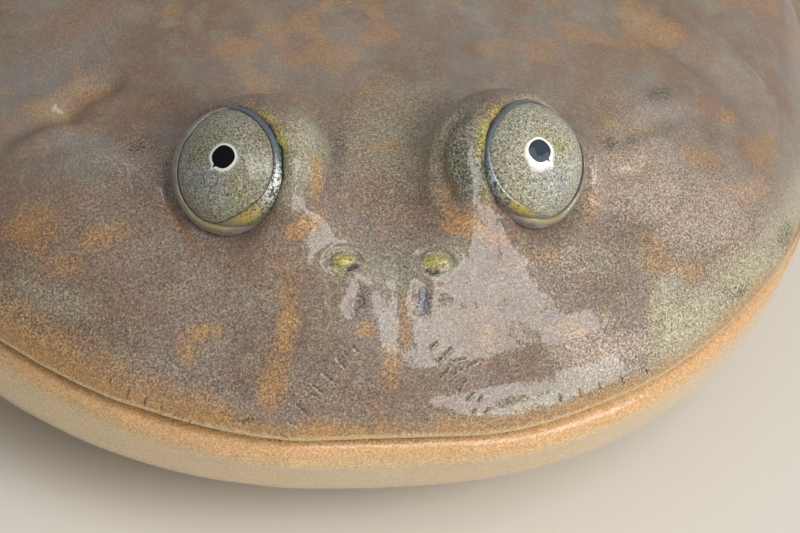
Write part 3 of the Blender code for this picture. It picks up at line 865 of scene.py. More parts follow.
# each colour's patches, in the order of Patch
PATCHES: dict[str, list[Patch]] = {colour: [Patch(*row) for row in rows] for colour, rows in {
    "ochre": (
        (285, 330, 12, 40, -8, 0.8), (273, 385, 16, 42, -12, 0.75), (200, 335, 26, 11, 12, 0.8),
        (187, 352, 12, 14, 0, 0.7), (391, 367, 9, 22, 0, 0.8), (404, 322, 9, 30, 0, 0.6),
        (366, 330, 10, 9, 0, 0.8), (287, 290, 12, 30, 0, 0.55), (306, 226, 24, 11, 25, 0.85),
        (316, 178, 6, 26, 0, 0.8), (470, 226, 26, 14, -10, 0.85), (448, 200, 7, 22, 0, 0.75),
        (496, 240, 14, 9, -20, 0.6), (572, 330, 16, 12, 0, 0.5), (30, 228, 34, 22, 0, 0.7),
        (100, 235, 30, 12, 20, 0.55), (62, 262, 30, 14, 0, 0.5), (655, 255, 20, 26, 20, 0.55),
        (690, 272, 18, 14, 0, 0.6), (700, 160, 24, 12, -15, 0.6), (745, 195, 22, 14, 0, 0.55),
        (640, 172, 28, 9, 5, 0.5), (485, 330, 12, 40, 0, 0.35), (375, 37, 26, 12, 0, 0.6),
        (490, 45, 22, 10, 0, 0.55), (235, 47, 26, 12, 0, 0.65), (380, 148, 26, 10, 0, 0.45),
        (360, 430, 60, 14, 4, 0.5), (50, 350, 50, 12, -30, 0.5), (150, 405, 50, 10, -22, 0.45),
        (590, 200, 12, 24, 0, 0.5), (540, 255, 30, 12, 0, 0.35),
    ),
    "rust": (
        (80, 22, 60, 20, 20, 0.6), (690, 40, 40, 16, -20, 0.5), (785, 35, 26, 26, 0, 0.5),
        (110, 195, 40, 12, 15, 0.5), (175, 215, 12, 26, 30, 0.6), (385, 190, 50, 30, 0, 0.4),
        (345, 115, 20, 36, 0, 0.45), (425, 190, 14, 40, 0, 0.45), (200, 246, 30, 9, -30, 0.5),
        (480, 208, 18, 14, 0, 0.5), (560, 110, 40, 14, -10, 0.25), (150, 250, 50, 24, 0, 0.3),
        # the broad patch at (70, 235) is partly the cheek's own warm colour and partly painted shade on the
        # cheek turned from the lamps
        (320, 300, 60, 30, 0, 0.25), (340, 395, 60, 26, 0, 0.35), (70, 235, 110, 60, 0, 0.45),
        (140, 310, 90, 50, -10, 0.3), (250, 260, 60, 30, 0, 0.4), (400, 400, 90, 30, 0, 0.4),
        (420, 215, 60, 26, 0, 0.4), (640, 215, 80, 40, 0, 0.12), (180, 222, 7, 32, 35, 1.1),
        (300, 20, 60, 16, 0, 0.3), (160, 60, 60, 20, 10, 0.3), (590, 60, 60, 22, -10, 0.35),
    ),
    "olive": (
        (302, 152, 30, 50, -12, 1.0), (468, 152, 24, 48, 6, 1.2), (345, 262, 34, 20, 0, 0.8),
        (395, 268, 30, 24, 0, 0.8), (440, 262, 32, 20, 0, 0.7), (330, 320, 30, 30, 0, 0.35),
        (60, 300, 50, 16, -20, 0.4), (560, 390, 60, 16, 12, 0.45), (720, 330, 30, 20, 45, 0.5),
        (700, 235, 30, 20, 0, 0.3), (440, 100, 60, 20, 0, 0.25), (90, 160, 40, 20, 20, 0.3),
    ),
    "sage": (
        (60, 305, 80, 26, -22, 0.18), (150, 360, 70, 18, -18, 0.15), (690, 330, 60, 34, 35, 0.65),
        (745, 275, 40, 30, 50, 0.6), (665, 300, 14, 36, -25, 0.5), (570, 400, 90, 18, 12, 0.25),
        (600, 260, 60, 20, 0, 0.2), (480, 420, 50, 14, 4, 0.35), (395, 135, 66, 66, 0, 0.3),
        (303, 150, 24, 42, -12, 0.22),
    ),
    "gold": (
        (343, 261, 12, 7, 10, 1.5), (333, 272, 12, 10, 0, 0.45), (435, 260, 12, 7, -5, 1.5),
        (448, 268, 6, 9, 0, 0.5), (267, 117, 12, 6, -35, 0.9), (282, 139, 6, 17, 14, 1.2),
        (495, 112, 10, 6, 35, 0.9), (482, 140, 6, 26, -6, 1.1), (268, 214, 6, 5, 0, 0.5),
        (484, 190, 6, 14, 10, 0.6),
    ),
    # the pale patches are painted light: milky sheen and highlights on the wet skin
    "pale": (
        (640, 180, 60, 46, 0, 0.42), (705, 215, 60, 44, 10, 0.34), (600, 352, 50, 22, 12, 0.4),
        (134, 162, 34, 26, 0, 0.24), (560, 270, 50, 36, 0, 0.15), (650, 120, 60, 30, -20, 0.2),
    ),
    # painted shade among the dark patches: (358, 303) and (423, 300) in the grooves under the nostrils, (482,
    # 172), (468, 157) and (340, 152) on the shaded sides of the domes, and (320, 330) and (90, 70) on the side
    # away from the lamps; the rest are dark spots of the skin
    "dark": (
        (137, 148, 9, 7, 0, 0.6), (660, 95, 14, 9, 0, 0.5), (610, 143, 9, 7, 0, 0.6),
        (785, 236, 8, 14, -20, 0.8), (740, 292, 9, 6, 0, 0.7), (358, 303, 9, 16, -20, 0.55),
        (423, 300, 9, 17, 12, 0.6), (245, 421, 20, 5, -6, 0.45), (27, 318, 20, 7, -20, 0.5),
        (482, 172, 7, 26, -4, 1.0), (403, 262, 9, 12, 0, 0.3), (330, 268, 14, 9, 0, 0.25),
        (320, 330, 24, 40, 0, 0.14), (90, 70, 120, 60, 0, 0.18), (8, 300, 10, 12, 0, 0.4),
        (468, 157, 19, 44, 4, 0.75), (340, 152, 9, 42, -4, 0.4),
    ),
    "blue": (
        (423, 302, 7, 12, 12, 0.45),
    ),
}.items()}
# what share of their strength the large soft patches keep
PATCH_STRENGTH = {"ochre": 0.62, "rust": 0.8, "olive": 0.85, "gold": 0.7, "dark": 0.7}

CREASES: list[Crease] = [Crease(*row) for row in (
    (((166, 176), (169, 196), (178, 216), (190, 232), (206, 246), (214, 262)), 0.2, 0.14),
    (((500, 206), (508, 216), (512, 226)), 0.12, 0.08),
    (((440, 134), (434, 158), (437, 182)), 0.12, 0.07),
    (((434, 132), (428, 158), (431, 184)), 0.12, 0.05),
    (((303, 108), (320, 124), (331, 148), (334, 172), (329, 196)), 0.45, 0.34),
    (((476, 108), (452, 124), (441, 150), (443, 180), (455, 206)), 0.45, 0.32),
    (((328, 262), (334, 254), (345, 250), (356, 254), (361, 262)), 0.1, 0.14),
    (((325, 257), (332, 248), (345, 244), (358, 248)), 0.1, 0.07),
    (((420, 262), (424, 252), (436, 248), (448, 253), (452, 263)), 0.1, 0.08),
    (((180, 165), (155, 156), (130, 148), (85, 124), (50, 96)), 0.7, 0.4),
    (((178, 174), (140, 172), (105, 168), (60, 160)), 0.5, 0.22),
    (((598, 168), (622, 174), (640, 170), (650, 156), (652, 138)), 0.4, 0.25),
    (((600, 150), (640, 128), (690, 112), (730, 130), (755, 165)), 0.6, 0.3),
    (((0, 140), (30, 124), (60, 112), (100, 90), (130, 72)), 0.7, 0.45),
    (((0, 160), (34, 142), (70, 131), (95, 128)), 0.5, -0.3),
    (((625, 20), (680, 52), (730, 92), (765, 150)), 0.8, 0.4),
    (((655, 10), (720, 50), (770, 100)), 0.8, -0.25),
    (((395, 280), (396, 300), (397, 330), (398, 352)), 0.5, 0.07),
    (((362, 280), (358, 292), (355, 304), (352, 320)), 0.4, 0.09),
    (((425, 278), (423, 290), (421, 302), (418, 318)), 0.4, 0.1),
    (((0, 300), (60, 330), (130, 352), (190, 366)), 0.5, 0.1),
    (((620, 352), (680, 330), (730, 296)), 0.5, 0.1),
)]

# the dashes of the lateral line: the middle of each, its length in pixels, and its lean against the clock
STITCHES: tuple[Row, ...] = (
    (355, 348, 8, -46), (345, 353, 4, -60), (341, 363, 12, -50), (329, 378, 15, -38), (317, 388, 12, -40),
    (312, 394, 14, -28), (301, 408, 12, -43), (293, 424, 11, -25), (284, 436, 8, -30), (433, 345, 9, 45),
    (444, 355, 17, 46), (444, 373, 14, 47), (452, 380, 11, 41), (459, 360, 12, 10), (472, 364, 12, 28),
    (458, 371, 11, 32), (470, 396, 9, 48), (480, 398, 6, 48), (460, 388, 6, 60), (473, 411, 5, 50),
    (464, 382, 5, 44), (487, 410, 6, 42), (145, 401, 8, 80), (161, 410, 8, 80), (173, 418, 8, 80),
    (181, 421, 8, 78), (189, 424, 7, 78), (128, 392, 7, 80), (110, 381, 7, 78), (560, 398, 7, 100),
    (580, 393, 7, 100), (600, 387, 7, 104), (622, 380, 7, 108), (646, 370, 7, 112),
)


def deepen(colours: dict[str, Array], name: str, values: Array) -> None:
    """Raise one coat's strength to the given values where they are more."""
    colours[name] = np.maximum(colours[name], values)


@dataclass
class Skin:
    """One unbroken wet skin over the head, jaw, body, arms and legs. Sizes are in millimetres."""

    name: str = "skin"
    # how far the solids grow to meet, and the face width of the surface round them
    grow: float = 0.2
    voxel: float = 0.5
    # where the head passes into the body, and the middle of the snout's front
    neck: Place = (-22, -14)
    snout_front: tuple[float, float, float] = (0, -50.5, 12.2)
    # the mouth's height against the distance behind the snout
    mouth_line: tuple[Place, ...] = (
        (-4, 11.4), (2, 11.5), (8, 12.1), (18, 12.2), (28, 11.3), (36, 10.2), (44, 9.4))
    mouth_corner: float = 36.0
    # the section of the shut mouth: how far above its line, how far out, and over what width
    lips: tuple[tuple[float, float, float], ...] = (
        (0, -0.75, 0.16), (0, -0.22, 0.5), (0.75, 0.12, 0.45), (-0.8, 0.1, 0.5))
    flesh: tuple[str, ...] = ("head", "lower_jaw", "torso")
    paired: tuple[str, ...] = ("upper_arm", "forearm", "hand", "thigh", "shank", "foot")
    # each nostril's valve in pixels, the valve's lean in degrees, and its slit in millimetres across and up
    nostrils: tuple[tuple[Place, float, tuple[Place, ...]], ...] = (
        ((344, 260), 10, ((0.25, -0.52), (0.45, -0.40), (0.72, -0.26))),
        ((435, 260), -8, ((-0.42, -0.62), (-0.15, -0.74), (0.12, -0.66))),
    )
    # half the length, half the width and the height of a nostril's valve, and the depth and width of its slit
    valve: tuple[float, float, float] = (0.78, 0.47, 0.17)
    slit: Place = (0.3, 0.09)
    # a dash of the lateral line: the depth of its groove, the height of its welt, and the width of both
    groove: float = 0.06
    welt: float = 0.035
    dash_wide: float = 0.055
    # the skin's soft swells: how high, how wide, and which pattern
    swells: tuple[tuple[float, float, int], ...] = ((0.07, 3.2, 11), (0.03, 1.3, 23))
    back_swell: float = 0.5
    flank_fold: float = 0.45
    wart_height: float = 0.16
    # face widths: over the body, over the snout and lids, along the mouth, at a dash and at a nostril
    body_faces: float = 0.6
    fine_faces: float = 0.26
    mouth_faces: float = 0.13
    dash_faces: float = 0.065
    nostril_faces: float = 0.08
    # the share of the faces that stays behind the face and under the jaw
    kept_behind: float = 0.22
    # places that need finer faces: the middle, how far, and the face width
    close_ups: list[tuple[Array, float, float]] = field(default_factory=list)
    piece: Piece | None = None

    def nodes(self) -> list[str]:
        """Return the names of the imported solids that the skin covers."""
        return [*self.flesh, *(side.of(part) for part in self.paired for side in Side)]

    def gather(self) -> Piece:
        """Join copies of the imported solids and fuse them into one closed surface.

        Returns:
            The skin so far, with voxel steps.
        """
        copies = [copy_of(name, name + "_copy") for name in self.nodes()]
        take(copies[0])
        for copy in copies:
            copy.select_set(True)
        bpy.ops.object.join()
        skin = bpy.context.object
        skin.name = skin.data.name = self.name
        fuse(skin, self.voxel, self.grow)
        return skin

    def smooth(self) -> None:
        """Take the facets and voxel steps out, most on the body and least on digits, and shrink to size."""
        mesh = self.piece.data
        places, edges = points_of(mesh), edges_of(mesh)
        broad = 1 - self.slender(places)
        near_eye = 1 - eased(self.from_eyes(places), 6, 9)
        head = 1 - eased(places[:, 1], *self.neck)
        places = relaxed(places, edges, 4)
        places = relaxed(places, edges, 30, broad * (1 - 0.75 * head * near_eye))
        places = relaxed(places, edges, 60, broad * (1 - head) * eased(places[:, 2], 0.3, 2.5))
        snout = np.linalg.norm(places * (1, 1, 0.6) - self.snout_front, axis=1)
        places = relaxed(places, edges, 60, 1 - eased(snout, 3.4, 5.2))
        put_points(mesh, places)
        places -= normals_of(mesh) * self.grow
        places[:, 2] = np.maximum(places[:, 2], 0.02)
        put_points(mesh, places)

    def press(self, push: Array) -> None:
        """Move every vertex along its normal by the given millimetres."""
        mesh = self.piece.data
        put_points(mesh, points_of(mesh) + normals_of(mesh) * push[:, None])

    def slender(self, places: Array) -> Array:
        """Return 1 on hands and feet and 0 on the body."""
        return self.close_to(places, ("hand", "foot"), 3.0)

    def close_to(self, places: Array, parts: Sequence[str], reach: float) -> Array:
        """Tell how near places lie to paired parts.

        Args:
            places: one a row, in millimetres.
            parts: the parts' names without their side.
            reach: how far from a part's box the answer falls to 0.

        Returns:
            For each place 1 inside the boxes of those parts, and less outside.
        """
        share = np.zeros(len(places))
        for part, side in product(parts, Side):
            low, high = (np.array(v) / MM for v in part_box(side.of(part)))
            outside = np.linalg.norm(np.maximum(np.maximum(low - places, places - high), 0), axis=1)
            share = np.maximum(share, 1 - eased(outside, 0.2, reach))
        return share

    def from_eyes(self, places: Array) -> Array:
        """Return the distance to the nearer eye's centre."""
        return np.linalg.norm(np.column_stack((np.abs(places[:, 0]), places[:, 1:])) - EYE_CENTRE, axis=1)

    def refine(self, rounds: int) -> None:
        """Split faces where they are larger than detail() wants them.

        Args:
            rounds: how many times faces are halved.
        """
        for _ in range(rounds):
            areas = np.empty(len(self.piece.data.polygons))
            self.piece.data.polygons.foreach_get("area", areas)
            edit_faces(self.piece, np.sqrt(areas) / MM > 1.25 * self.detail(centres_of(self.piece.data)))
            bpy.ops.mesh.subdivide(number_cuts=1, smoothness=1.0, ngon=False)
            bpy.ops.object.mode_set(mode="OBJECT")

    def seen_points(self, seen: Iterable[Sequence[float]]) -> Array:
        """Find where the photograph's camera meets the skin.

        Args:
            seen: places of the 800 by 533 frame, across and down first.

        Returns:
            One place a row, in millimetres.
        """
        tree = BVHTree.FromObject(self.piece, bpy.context.evaluated_depsgraph_get())
        hits = [tree.ray_cast(SIGHT.stand() * MM, SIGHT.ray(spot[0], spot[1]))[0] for spot in seen]
        return np.array(hits, float) / MM

    def above_mouth(self, places: Array) -> Array:
        """Return how far each place lies above the line of the mouth."""
        return places[:, 2] - through(self.mouth_line, places[:, 1] - SNOUT_Y)

    def detail(self, places: Array) -> Array:
        """Choose how fine the faces are: finest in front, which is seen closely.

        Args:
            places: one a row, in millimetres.

        Returns:
            The face width wanted at each.
        """
        behind = places[:, 1] - SNOUT_Y
        want = np.full(len(places), self.body_faces)
        mouth = np.where(behind < self.mouth_corner + 1, np.abs(self.above_mouth(places)), np.inf)
        want[mouth < 1.2] = self.fine_faces
        want[mouth < 0.4] = self.mouth_faces
        gap = self.from_eyes(places)
        want[(gap > 3.4) & (gap < 5.8) & (places[:, 2] > 20.5)] = self.fine_faces
        want[(behind < 14) & (np.abs(places[:, 0]) < 12) & (places[:, 2] > 12)] = self.fine_faces
        for centre, reach, fine in self.close_ups:
            near = np.linalg.norm(places - centre, axis=1) < reach
            want[near] = np.minimum(want[near], fine)
        return want

    def carve_mouth(self) -> None:
        """Sink the line of the shut mouth between two soft lips."""
        places, normals = points_of(self.piece.data), normals_of(self.piece.data)
        behind = places[:, 1] - SNOUT_Y
        fade = 1 - eased(behind, self.mouth_corner - 2, self.mouth_corner + 0.5)
        up = self.above_mouth(places)
        section = sum(out * bell(up - middle, width) for middle, out, width in self.lips)
        self.press(section * fade * (np.abs(normals[:, 2]) < 0.9))

    def carve_creases(self) -> None:
        """Press the folds and furrows of the face into the skin."""
        paths = []
        for crease in CREASES:
            t = np.linspace(0, len(crease.line) - 1, 8 * len(crease.line))
            paths.append(np.column_stack([through(list(enumerate(v)), t) for v in zip(*crease.line)]))
        lines = np.split(self.seen_points(np.concatenate(paths)), np.cumsum([len(p) for p in paths])[:-1])
        places = points_of(self.piece.data)
        push = np.zeros(len(places))
        for crease, line in zip(CREASES, lines):
            reach = (line.min(0) - 4 * crease.width < places) & (places < line.max(0) + 4 * crease.width)
            close = np.flatnonzero(reach.all(1))
            gap, along = near_line(places[close], line)
            ends = eased(along, 0, 0.15) * (1 - eased(along, 0.85, 1))
            furrow = bell(gap, crease.width) - 0.35 * bell(gap - 2 * crease.width, crease.width)
            push[close] -= crease.depth * ends * furrow
        self.press(push)

    def carve_nostrils(self) -> None:
        """Raise each nostril's valve in its ring of furrow, and cut the slit beneath its inner side, with
        painted shade in the slit and a painted highlight along the valve's upper rim.
        """
        centres = self.seen_points([valve for valve, _, _ in self.nostrils])
        places, normals = points_of(self.piece.data), normals_of(self.piece.data)
        push, dark, shine = np.zeros((3, len(places)))
        half_long, half_wide, high = self.valve
        slit_deep, slit_wide = self.slit
        for (_, lean, slit), centre in zip(self.nostrils, centres):
            near = np.flatnonzero(np.linalg.norm(places - centre, axis=1) < 2.5)
            face = normals[near[np.argmin(np.linalg.norm(places[near] - centre, axis=1))]]
            x, y = ((places[near] - centre) @ way for way in SIGHT.sideways(face))
            u, v = turned(x, y, lean)
            q = np.hypot(u / half_long, v / half_wide)
            above = eased(v, -0.35, 0.25)
            push[near] += high * np.maximum(0, 1 - q * q) - (0.03 + 0.09 * above) * bell(q - 1.3, 0.22)
            push[near] += 0.04 * above * (bell(q - 1.75, 0.25) - bell(q - 2.3, 0.25))
            gap, _ = near_line(np.column_stack((x, y)), np.array(slit))
            push[near] -= slit_deep * bell(gap, slit_wide)
            push[near] += 0.06 * bell(np.hypot(x - slit[1][0], y - slit[1][1] + 0.28), 0.25)
            # painted shade in the slit
            dark[near] = np.maximum(dark[near], 0.85 * bell(gap, 0.1))
            # a painted highlight along the upper rim of the valve
            shine[near] = np.maximum(shine[near], 0.95 * above * bell(q - 0.95, 0.15) * bell(u + 0.1, 0.6))
        self.press(push)
        give(self.piece.data, "slit", dark)
        give(self.piece.data, "shine", shine)

    def carve_stitches(self) -> None:
        """Set the dashes of the lateral line: a fine groove each, with a narrow raised welt beside it, painted
        shade in the groove and a painted highlight along the welt.
        """
        ends = []
        for across, down, length, lean in STITCHES:
            a = math.radians(lean)
            dx, dy = math.cos(a) * length / 2, -math.sin(a) * length / 2
            aside = (-1.7, 1.4) if lean < 0 else (1.9, 1.2)
            for x, y in ((0, 0), aside):
                ends += [(across + end * dx + x, down + end * dy + y) for end in (-1, 1)]
        found = self.seen_points(ends).reshape(-1, 2, 2, 3)
        places = points_of(self.piece.data)
        push, dark, pale = np.zeros((3, len(places)))
        for slit, welt in found:
            near = np.flatnonzero(np.linalg.norm(places - slit.mean(0), axis=1) < 1.0)
            gap, along = near_line(places[near], slit)
            beside, _ = near_line(places[near], welt)
            push[near] += self.welt * bell(beside, self.dash_wide) - self.groove * bell(gap, self.dash_wide)
            # painted shade in each groove, uneven along it, and a painted highlight along each welt
            groove_shade = (0.65 + 0.6 * speckle(places[near], 0.25, 3)) * (0.6 + 0.4 * bell(along - 0.4, 0.4))
            dark[near] = np.maximum(dark[near], 0.85 * groove_shade * bell(gap, 0.06))
            pale[near] = np.maximum(pale[near], 0.3 * bell(beside, 0.05))
        self.press(push)
        give(self.piece.data, "stitch_dark", dark)
        give(self.piece.data, "stitch_pale", pale)

    def roughen(self) -> None:
        """Give the skin its soft unevenness, small warts and the folds of the flanks."""
        places, normals = points_of(self.piece.data), normals_of(self.piece.data)
        behind = places[:, 1] - SNOUT_Y
        calm = 1 - self.slender(places)
        push = sum(high * (cloudy(places, wide, seed) - 0.5) for high, wide, seed in self.swells)
        back = eased(behind, 30, 45) * calm
        push += back * self.back_swell * (cloudy(places, 9.0, 31, 2) - 0.5)
        flank = back * bell(places[:, 2] - 13, 9) * eased(np.abs(places[:, 0]), 24, 34)
        push -= flank * self.flank_fold * bell((cloudy(places * (0.55, 1, 0.35), 5.0, 41, 2) - 0.5) * 9, 0.7)
        wart = self.warts(places, (normals[:, 2] >= 0.1) & (self.above_mouth(places) >= 1.5))
        lively = eased(cloudy(places, 14, 51), 0.42, 0.6)
        lively *= 0.35 + 0.65 * eased(np.abs(places[:, 0]), 10, 20)
        lively *= eased(self.from_eyes(places), 5, 7)
        lively *= eased(np.linalg.norm(places - (0, -50, 18), axis=1), 7, 11)
        push += self.wart_height * wart * lively * calm
        push *= 1 - 0.9 * (1 - eased(places[:, 2], 0.2, 1.5))
        wart *= 0.4 + 0.6 * eased(behind, 30, 45)
        self.press(push)
        give(self.piece.data, "wart", wart * lively * 2)

    def warts(self, places: Array, free: Array) -> Array:
        """Scatter small warts, one at most in a cube of the spacing.

        Args:
            places: the skin's vertices.
            free: true where a wart may stand.

        Returns:
            The warts' height at each vertex.
        """
        tries, spacing, reach, smallest, largest = 9000, 2.3, 1.2, 0.22, 0.5
        rng = np.random.default_rng(7)
        taken: dict[tuple[int, int, int], int] = {}
        for k in rng.choice(len(places), tries, replace=False):
            if free[k]:
                taken.setdefault(tuple(int(c // spacing) for c in places[k]), k)
        height = np.zeros(len(places))
        order = np.argsort(places[:, 0])
        sorted_x = places[order, 0]
        for k in taken.values():
            size = rng.uniform(smallest, largest)
            first, last = np.searchsorted(sorted_x, (places[k, 0] - reach, places[k, 0] + reach))
            near = order[first:last]
            gap = np.linalg.norm(places[near] - places[k], axis=1)
            near, gap = near[gap < reach], gap[gap < reach]
            height[near] = np.maximum(height[near], bell(gap, size) * size)
        return height

    def patches(self, colours: dict[str, Array], ahead: Array) -> None:
        """Lay the patches on the face.

        Args:
            colours: each coat's strength at the vertices, to add to.
            ahead: true where the skin faces the camera.
        """
        places = points_of(self.piece.data)
        across, down, depth = SIGHT.seen(places)
        # how far the edges wander and the patch width that wanders in full, in pixels
        wander, full_width = 26, 34
        wobble = [wander * (cloudy(places, 2.6, seed, 4) - 0.5) for seed in (61, 71)]
        broken = 0.45 + 1.1 * cloudy(places, 0.9, 66)
        spots = [(name, patch) for name, patches in PATCHES.items() for patch in patches]
        middles = SIGHT.seen(self.seen_points([(p.across, p.down) for _, p in spots]))[2]
        for (name, patch), middle in zip(spots, middles):
            sway = min(1, patch.wide / full_width)
            x, y = across + sway * wobble[0] - patch.across, patch.down - down - sway * wobble[1]
            u, v = turned(x, y, patch.lean)
            inside = 1 - eased(np.hypot(u / patch.wide, v / patch.high), 0.3, 1.5)
            size = max(patch.wide, patch.high)
            shallow = 1 - eased(np.abs(depth - middle), 0.12 * size, 0.3 * size + 1)
            share = PATCH_STRENGTH[name] * broken if name in PATCH_STRENGTH else 1
            deepen(colours, name, patch.strength * share * inside * shallow * ahead)

    def marbling(self, colours: dict[str, Array], ahead: Array) -> None:
        """Carry the colours on over the body, as blotches like those of the face.

        Args:
            colours: each coat's strength at the vertices, to add to.
            ahead: true where the skin faces the camera.
        """
        places = points_of(self.piece.data)
        behind = places[:, 1] - SNOUT_Y
        across, down, _ = SIGHT.seen(places)
        # the patches fill the frame, so there the blotches are faint
        framed = (1 - eased(np.abs(across - 400), 360, 460)) * (1 - eased(np.abs(down - 266), 240, 330))
        free = 1 - 0.85 * framed * ahead * (behind < 40)
        bent = places + 5 * np.column_stack([cloudy(places, 6.0, seed) - 0.5 for seed in (141, 151, 161)])
        bent = bent @ np.array(((0.8, 0.6, 0), (-0.48, 0.64, 0.6), (0.36, -0.48, 0.8)))
        back = eased(behind, 9, 16) * eased(self.above_mouth(places), 3, 6)
        back *= eased(self.from_eyes(places), 5.5, 7.5)
        # for each kind of blotch its coat, where it lies, its strength, width and pattern, and the pattern's
        # values at which it starts and is full
        for name, where, strength, width, seed, start, full in (
            ("ochre", free, 0.55, 7.0, 81, 0.53, 0.68), ("rust", free, 0.55, 11.0, 91, 0.52, 0.68),
            ("olive", free, 0.6, 15.0, 101, 0.5, 0.66), ("dark", free, 0.55, 5.0, 111, 0.64, 0.76),
            ("ochre", back, 0.3, 3.2, 171, 0.53, 0.7), ("slate", back, 0.26, 3.6, 181, 0.5, 0.68),
            ("rust", back, 0.4, 4.2, 191, 0.5, 0.66),
        ):
            deepen(colours, name, where * strength * eased(cloudy(bent, width, seed), start, full))

    def paint(self) -> None:
        """Lay the colours on: patches and blotches, some of them painted light and shade, the margin of the
        lip, the pale belly, and the paint that goes with the carved marks.
        """
        mesh = self.piece.data
        places, normals = points_of(mesh), normals_of(mesh)
        behind = places[:, 1] - SNOUT_Y
        up = self.above_mouth(places)
        ahead = normals @ np.array(SIGHT.way()) > -0.1
        colours = {name: np.zeros(len(places)) for name in COATS}
        self.patches(colours, ahead)
        self.marbling(colours, ahead)
        arms = self.close_to(places, ("upper_arm", "forearm", "hand"), 1.5)
        face = (1 - eased(behind, self.mouth_corner - 1, self.mouth_corner + 5)) * (1 - arms)
        ragged = 1.2 * (cloudy(places, 1.8, 121) - 0.5)
        aside = eased(np.abs(places[:, 0]), 6, 24) * (0.75 + 0.25 * np.sign(places[:, 0]))
        margin = 1 - eased(up + ragged, 0.6, 2.2 + 3.2 * aside)
        deepen(colours, "sage", face * (0.2 + 0.45 * aside) * margin)
        lip = (1 - eased(up + 0.8 * ragged, 0.3, 2.4 + 2.2 * eased(-places[:, 0], 4, 22))) * face
        deepen(colours, "ochre", 0.95 * lip)
        colours["sage"] *= 1 - 0.7 * lip
        deepen(colours, "cream", (1 - eased(up + 0.3 * ragged, -0.4, 0.35)) * face)
        low = 1 - eased(places[:, 2] + 5 * (cloudy(places, 4.0, 131) - 0.5), 5.5 - 4 * arms, 11.0 - 6 * arms)
        under = eased(-normals[:, 2], -0.15, 0.45)
        belly = np.maximum(low * (1 - self.slender(places)) * 0.8, under)
        belly = np.maximum(belly, face * eased(-up + ragged, 1.2, 4.0))
        colours["belly"] = belly
        for name in ("ochre", "rust", "olive", "dark", "slate"):
            colours[name] *= 1 - 0.75 * belly
        # painted shade along the crease of the shut mouth
        deepen(colours, "dark", 0.55 * bell(up, 0.1) * face)
        # the carved marks' colours: painted shade in the nostrils' slits and the lateral line's grooves,
        # painted highlights along the welts and the valves' rims, and the warts' own pale colour
        for carved, name, strength in (
            ("slit", "dark", 1.3), ("stitch_dark", "dark", 1), ("stitch_pale", "pale", 1),
            ("shine", "pale", 1), ("wart", "pale", 0.45),
        ):
            values = np.empty(len(places), np.float32)
            mesh.attributes[carved].data.foreach_get("value", values)
            mesh.attributes.remove(mesh.attributes[carved])
            deepen(colours, name, strength * values)
        colours["calm"] = 0.6 * belly
        deepen(colours, "calm", 0.75 * eased(behind, 9, 20))
        deepen(colours, "calm", 0.5 * face * (1 - eased(up, 0.2, 2.6)))
        for name, values in colours.items():
            give(mesh, name, values)

    def fill_hollows(self) -> None:
        """Draw the skin tight over the hollows under the eyes, like a film between the lids and the cheek."""
        mesh = self.piece.data
        places, edges = points_of(mesh), edges_of(mesh)
        near = (1 - eased(self.from_eyes(places), 7.5, 10)) * eased(places[:, 2], 13, 16)
        places = relaxed(places, edges, 30, near)
        for eye in EYES:
            gap, away, turn = eye.around(places)
            wide, ahead = gap * np.sin(np.radians(away)), gap * np.cos(np.radians(away))
            below = eased(np.abs(wrapped(turn + 95)), 92, 70)
            film = eased(wide, 3.5, 4.1) * (1 - eased(wide, 7.6, 9.0)) * below * eased(ahead, -3.0, -1.5)
            # pulled only inwards, the film shrinks until it is tight
            places = relaxed(places, edges, 160, film, (0.7,))
        put_points(mesh, places)

    def close_sockets(self) -> None:
        """Bring the rims of the lids' skin to where the lids' edges lie, against the eyeballs."""
        places = points_of(self.piece.data)
        for eye in EYES:
            gap, away, turn = eye.around(places)
            close, rim = gap < 4.4, []
            # the skin's innermost vertices now, in steps of ten degrees round the opening
            for middle in range(-180, 180, 10):
                inside = close & (np.abs(wrapped(turn - middle)) < 9)
                rim.append((middle, float(np.percentile(away[inside], 1))))
            now = through(rim, turn, 360)
            wanted = through(eye.rim, turn, 360)
            shift = (wanted - now) * (1 - eased(away - now, 2, 20)) * (1 - eased(gap, 4.5, 6.5))
            drawn = gap - 0.26 * (1 - eased(gap, 4.0, 4.8))
            near = gap < 6.5
            places[near] = eye.place(drawn, away + shift, turn)[near]
        put_points(self.piece.data, places)

    def thin_out(self) -> None:
        """Spend fewer faces behind the face and under the jaw, but not on the hands and feet."""
        centres = centres_of(self.piece.data)
        broad = (centres[:, 1] - SNOUT_Y > 40) | (self.above_mouth(centres) < -2.5)
        edit_faces(self.piece, broad & (self.slender(centres) < 0.05))
        bpy.ops.mesh.decimate(ratio=self.kept_behind)
        bpy.ops.object.mode_set(mode="OBJECT")

    def build(self) -> Piece:
        """Make the whole skin.

        Returns:
            The finished piece.
        """
        self.piece = self.gather()
        self.smooth()
        self.fill_hollows()
        self.close_sockets()
        spots = [(dash[:2], 0.5, self.dash_faces) for dash in STITCHES]
        spots += [(valve, 1.5, self.nostril_faces) for valve, _, _ in self.nostrils]
        centres = self.seen_points([s[0] for s in spots])
        self.close_ups = [(centre, *s[1:]) for centre, s in zip(centres, spots)]
        self.refine(4)
        self.carve_mouth()
        self.carve_creases()
        self.carve_nostrils()
        self.roughen()
        self.carve_stitches()
        self.thin_out()
        self.paint()
        round_off(self.piece, WetSkin().build())
        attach(self.piece, "root")
        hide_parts(*self.nodes())
        return self.piece


